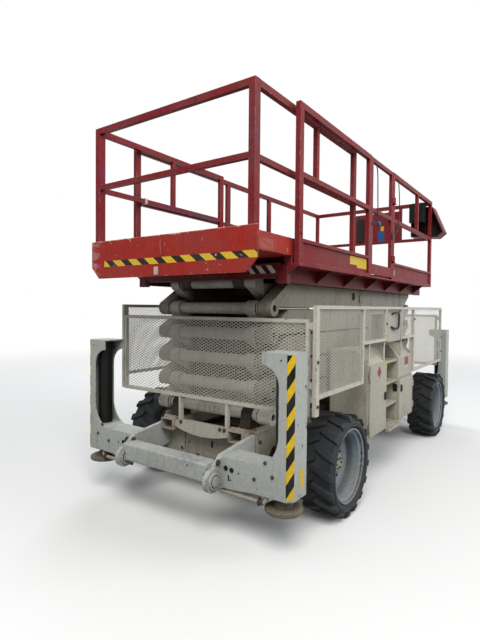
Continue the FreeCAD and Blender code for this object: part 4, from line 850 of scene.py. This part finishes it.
# The guards' expanded mesh. Slit and stretched sheet, in diamonds 48 by 25 mm, welded into
# the tube frames. One pair of diamonds is modelled and repeated over each panel.
MESH_WIDE, MESH_HIGH, STRAND, SHEET = 0.048, 0.025, 0.0028, 0.0026


def pick_edges(test):
    """Selects the edges whose middle and direction pass the test."""
    edit = bmesh.from_edit_mesh(bpy.context.object.data)
    bpy.ops.mesh.select_all(action="DESELECT")
    for line in edit.edges:
        one, two = (point.co for point in line.verts)
        line.select_set(test((one + two) / 2, (one - two).normalized()))
    bmesh.update_edit_mesh(bpy.context.object.data)


def expanded_mesh(width, height, turn, corner):
    """One panel of diamonds, its low corner put at a place and turned to a side."""
    a, b = MESH_WIDE / 2, MESH_HIGH / 2
    mouth = 1.0 - STRAND / (a * b / math.hypot(a, b))

    def on_mouth(middle, along):
        part = abs(middle.x) / a + abs(middle.y) / b
        return part < (1 + mouth) / 2 and abs(along.y) > 0.1 and abs(part - mouth) < 0.02

    begin(bpy.ops.mesh.primitive_circle_add, vertices=4, radius=1.0, fill_type="NGON")
    bpy.ops.transform.resize(value=(a, b, 1.0))
    bpy.ops.mesh.inset(thickness=STRAND)
    bpy.ops.mesh.delete(type="ONLY_FACE")
    pick_edges(on_mouth)
    extrude(0.0, 0.0, -SHEET)
    extrude(0.0, 0.0, 0.0)
    bpy.ops.transform.resize(value=(1 / mouth, 1 / mouth, 1.0), center_override=(0.0, 0.0, -SHEET))
    bpy.ops.mesh.select_all(action="SELECT")
    bpy.ops.mesh.duplicate_move(TRANSFORM_OT_translate={"value": (a, b, 0.0)})
    end()
    piece = bpy.context.object
    for step, count in (((MESH_WIDE, 0.0, 0.0), int(width / MESH_WIDE) + 3),
                        ((0.0, MESH_HIGH, 0.0), int(height / MESH_HIGH) + 3)):
        row = piece.modifiers.new("Row", "ARRAY")
        row.use_relative_offset, row.use_constant_offset = False, True
        row.constant_offset_displace, row.count = step, count
        bpy.ops.object.modifier_apply(modifier=row.name)
    bpy.ops.object.mode_set(mode="EDIT")
    bpy.ops.mesh.select_all(action="SELECT")
    bpy.ops.mesh.remove_doubles(threshold=0.0002)
    bpy.ops.mesh.normals_make_consistent(inside=False)
    start_x, start_y = MESH_WIDE * 0.6, MESH_HIGH * 0.6
    for point, normal in (((start_x, 0, 0), (-1, 0, 0)), ((start_x + width, 0, 0), (1, 0, 0)),
                          ((0, start_y, 0), (0, -1, 0)), ((0, start_y + height, 0), (0, 1, 0))):
        bpy.ops.mesh.select_all(action="SELECT")
        bpy.ops.mesh.bisect(plane_co=point, plane_no=normal, use_fill=True, clear_outer=True)
    bpy.ops.mesh.select_all(action="SELECT")
    move(-start_x, -start_y, SHEET / 2)
    end()
    stand(turn, corner)
    bpy.ops.object.transform_apply(location=True, rotation=True, scale=True)
    return piece


TUBE, GUARD_X, GUARD_TOP = 0.029, 1.045, 1.737
join([expanded_mesh(2.014 - 2 * TUBE, 0.720 - 2 * TUBE, "-Y", (-1.007 + TUBE, y, 0.915 + TUBE))
      for y in (-2.025, 1.942)])
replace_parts(close("end_guard_expanded_mesh", guard_cream, "base", 1.0), "end_guard_mesh")
join([expanded_mesh(far - near - 2 * TUBE, GUARD_TOP - low - 2 * TUBE, "+X",
                    (x, near + TUBE, low + TUBE))
      for near, far, low in ((-1.998, -1.060, 1.040), (-1.075, -0.430, 1.390),
                             (0.050, 0.570, 1.385), (0.541, 1.957, 0.980))
      for x in (GUARD_X, -GUARD_X)])
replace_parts(close("side_guard_expanded_mesh", guard_cream, "base", 1.0), "side_guard_mesh")

# What is fixed to the cabinets. Black paddle latches on the doors, blank stickers, and a row
# of slots punched in the fixed panel for air, made as shut slots whose black is painted shade.
DOOR_X, STICKER_X, CABINET_X = 1.0603, 1.0604, 1.0441
latch("door_latch_right_near", (DOOR_X, -0.468, 0.842), "+X", "door_right_near")
latch("door_latch_right_far", (DOOR_X, 0.075, 0.847), "+X", "door_right_far")
latch("door_latch_left_near", (-DOOR_X, -0.235, 0.842), "-X", "door_left_near")
latch("door_latch_left_far", (-DOOR_X, -0.135, 0.842), "-X", "door_left_far")
latch("cabinet_wall_latch", (1.014, 0.0098, 0.856), "-Y", "base")
green_film = plain_finish("Yellow green sticker film", shade(178, 180, 70))


def diamond_label(name, spot, size, side, material, body):
    """A blank sticker that stands on its corner."""
    begin(bpy.ops.mesh.primitive_plane_add, size=size, rotation=(0.0, 0.0, math.pi / 4))
    extrude(0.0, 0.0, 0.0012)
    bpy.ops.mesh.inset(thickness=size * 0.08)
    move(0.0, 0.0, -0.0003)
    outward()
    end()
    stand(side, spot)
    close(name, material, body, 20.0)


diamond_label("cabinet_diamond_label", (STICKER_X, -0.648, 1.100), 0.084, "+X", red_film,
              "door_right_near")
label("cabinet_green_label", (STICKER_X, -0.452, 1.145), 0.055, 0.060, "+X", green_film,
      "door_right_near")
label("cabinet_red_label", (CABINET_X, 0.310, 1.128), 0.120, 0.088, "+X", red_film, "base")
label("cabinet_faded_label", (CABINET_X, 0.310, 1.066), 0.120, 0.034, "+X", white_film, "base",
      corner=0.004)
label("cabinet_lid_label", (1.0003, 0.200, 1.2373), 0.110, 0.050, "lid", yellow_film, "base")
# Painted shade: each vent is a shut black slot that stands for the dark behind it.
disc(16, 0.004, 0.003, -0.0008)
pick_faces(lambda middle, normal: normal.x > 0.2 and abs(normal.y) < 0.1)
move(0.012, 0.0, 0.0)
pick_faces(lambda middle, normal: normal.x < -0.2 and abs(normal.y) < 0.1)
move(-0.012, 0.0, 0.0)
end()
repeat([(1.0443, 0.045 + 0.046 * count, 0.962, 90.0) for count in range(10)])
close("cabinet_vents", painted_shade_black, "base")

# The near cabinet's folded seam. Its end wall ends in a flange of the same cream sheet, which
# laps the cover behind the wheel and is spot welded to it.
sheet(0.030, 0.760)
extrude(0.0, 0.0, 0.004)
pick_edges(lambda middle, along: middle.x > 0.014 and abs(along.y) > 0.9)
move(-0.003, 0.0, 0.0)
outward()
end()
stand("-Y", (0.690, -0.9101, 0.900))
close("cabinet_end_seam", panel_cream, "base")

# Anti-slip grips of the ladder. Each tread's sheet is punched up from below in rows of round
# studs, and painted with the rest of the ladder.
STUD_ROWS = ((0.4960, (0.925, 0.975, 1.025, 1.070)), (0.7260, (0.925, 0.970, 1.010)),
             (0.9560, (0.925, 0.970, 1.010)), (1.1760, (0.925, 0.970, 1.010)))
turned_piece([(0.009, 0.0), (0.0085, 0.0025), (0.0060, 0.0040)], 14)
repeat([(x, -0.370 + 0.055 * count, z, 0.0) for z, rows in STUD_ROWS
        for x in rows for count in range(7)])
close("tread_studs", panel_cream, "base")

# What holds the guards. Bolts through the posts, and a square tube that joins the two side
# guards over the ladder.
POST_BOLTS = ((-1.997, 1.317), (-1.997, 0.989), (-0.447, 1.566), (0.556, 1.597), (1.944, 1.323),
              (1.944, 1.120))
bolt_head(0.010, 0.008)
repeat([(side * 1.0601, y, z, 90.0 * side) for side in (1, -1) for y, z in POST_BOLTS])
close("guard_bolts", bolt_steel, "base")
square_bar(TUBE, (GUARD_X, -0.4299, 1.7220), 0.4798)
end()
soften(0.003)
close("ladder_top_bar", guard_cream, "base")

# The entry ladder's grab handle. A black bar bent like a hook, bolted to the top panel, and
# a thin loop behind it that keeps the cover's pull strap.
bent_bar("grab_handle", [(1.061, -0.305, 1.656), (1.079, -0.300, 1.670), (1.079, -0.240, 1.678),
                         (1.079, -0.125, 1.676), (1.079, -0.104, 1.655), (1.079, -0.108, 1.560),
                         (1.079, -0.118, 1.522), (1.079, -0.175, 1.505), (1.079, -0.245, 1.505),
                         (1.079, -0.300, 1.520), (1.061, -0.318, 1.530)],
         0.0105, black_plastic, "base")
bent_bar("ladder_loop", [(0.883, -0.119, 1.640), (0.905, -0.150, 1.665), (0.905, -0.260, 1.652),
                         (0.905, -0.315, 1.600), (0.905, -0.300, 1.530), (0.883, -0.233, 1.500)],
         0.004, black_plastic, "base")


# The place the picture is taken in. A plain pale floor that fades to white, a soft sky and
# three wide lamps.
def seen_by_eye(tree):
    """1 for what the camera sees, directly or in a reflection, and 0 for light on surfaces."""
    path = put(tree, "ShaderNodeLightPath").outputs
    bounced = calc(tree, "MAXIMUM", path["Is Glossy Ray"], path["Is Transmission Ray"])
    return calc(tree, "MAXIMUM", path["Is Camera Ray"], bounced)


WHITE = (1.0, 1.0, 1.0, 1.0)
bpy.ops.object.select_all(action="DESELECT")
bpy.ops.mesh.primitive_plane_add(size=60.0, location=(0.0, 0.0, 0.0))
floor = bpy.context.object
floor.name = "studio_floor"
floor_finish = new_finish("Pale floor", gloss=0.1)
tree = floor_finish.node_tree
surface = tree.nodes["Principled BSDF"]
surface.inputs["Base Color"].default_value = (0.20, 0.20, 0.20, 1.0)
surface.inputs["Roughness"].default_value = 0.95
pale = put(tree, "ShaderNodeBsdfDiffuse", {"Color": (0.86, 0.86, 0.85, 1.0)}).outputs[0]
far_white = put(tree, "ShaderNodeEmission", {"Color": WHITE, "Strength": 1.0}).outputs[0]
fade = soft_step(tree, length_of(tree, object_place(tree)), 3.0, 16.0)
backdrop = put(tree, "ShaderNodeMixShader", {0: fade, 1: pale, 2: far_white}).outputs[0]
floor_look = put(tree, "ShaderNodeMixShader", {0: seen_by_eye(tree), 1: surface.outputs[0],
                                               2: backdrop}).outputs[0]
tree.links.new(floor_look, tree.nodes["Material Output"].inputs["Surface"])
floor.data.materials.append(floor_finish)

world = bpy.data.worlds.new("Overcast sky")
bpy.context.scene.world = world
world.use_nodes = True
tree = world.node_tree
tree.nodes.clear()
plain = put(tree, "ShaderNodeBackground", {"Color": WHITE, "Strength": 1.0}).outputs[0]
sky = put(tree, "ShaderNodeBackground", {"Color": (0.93, 0.96, 1.0, 1.0),
                                         "Strength": 0.52}).outputs[0]
mixed = put(tree, "ShaderNodeMixShader", {0: seen_by_eye(tree), 1: sky, 2: plain}).outputs[0]
put(tree, "ShaderNodeOutputWorld", {"Surface": mixed})


def lamp(name, spot, aim, power, colour):
    """A round lamp 6 m wide, aimed at a point."""
    data = bpy.data.lights.new(name, "AREA")
    data.shape, data.size = "DISK", 6.0
    data.energy, data.color = power, colour
    light = bpy.data.objects.new(name, data)
    light.location = spot
    light.rotation_euler = (Vector(aim) - Vector(spot)).to_track_quat("-Z", "Y").to_euler()
    bpy.context.scene.collection.objects.link(light)


lamp("Key sky", (4.5, -7.5, 9.0), (0.0, -0.5, 1.2), 820.0, (1.0, 0.98, 0.95))
lamp("Side sky", (9.0, 3.0, 6.0), (0.0, 0.0, 1.2), 400.0, (0.95, 0.98, 1.0))
lamp("Back sky", (-7.0, 6.0, 8.0), (0.0, 0.0, 1.5), 420.0, (0.95, 0.97, 1.0))

# The camera stands where the photograph was taken from, at head height by the corner. Its
# focal length was found in pixels of the picture's height.
CAMERA_AT, FOCAL_PIXELS, PICTURE_HEIGHT, SENSOR = (2.564, -5.093, 1.717), 464.233, 640.0, 36.0
yaw, pitch, roll = math.radians(35.506), math.radians(1.558), math.radians(0.499)
level_up = Vector((0.0, 0.0, 1.0))
ahead = Vector((-math.sin(yaw), math.cos(yaw), 0.0))
right = Vector((math.cos(yaw), math.sin(yaw), 0.0))
view = ahead * math.cos(pitch) - level_up * math.sin(pitch)
over = level_up * math.cos(pitch) + ahead * math.sin(pitch)
across = right * math.cos(roll) + over * math.sin(roll)
upward = over * math.cos(roll) - right * math.sin(roll)
camera_data = bpy.data.cameras.new("Photograph")
camera_data.sensor_width = SENSOR
camera_data.lens = FOCAL_PIXELS / PICTURE_HEIGHT * SENSOR
camera = bpy.data.objects.new("Photograph", camera_data)
camera.matrix_world = (Matrix.Translation(CAMERA_AT)
                       @ Matrix((across, upward, -view)).transposed().to_4x4())
bpy.context.scene.collection.objects.link(camera)
bpy.context.scene.camera = camera
bpy.context.scene.view_settings.view_transform = "Standard"
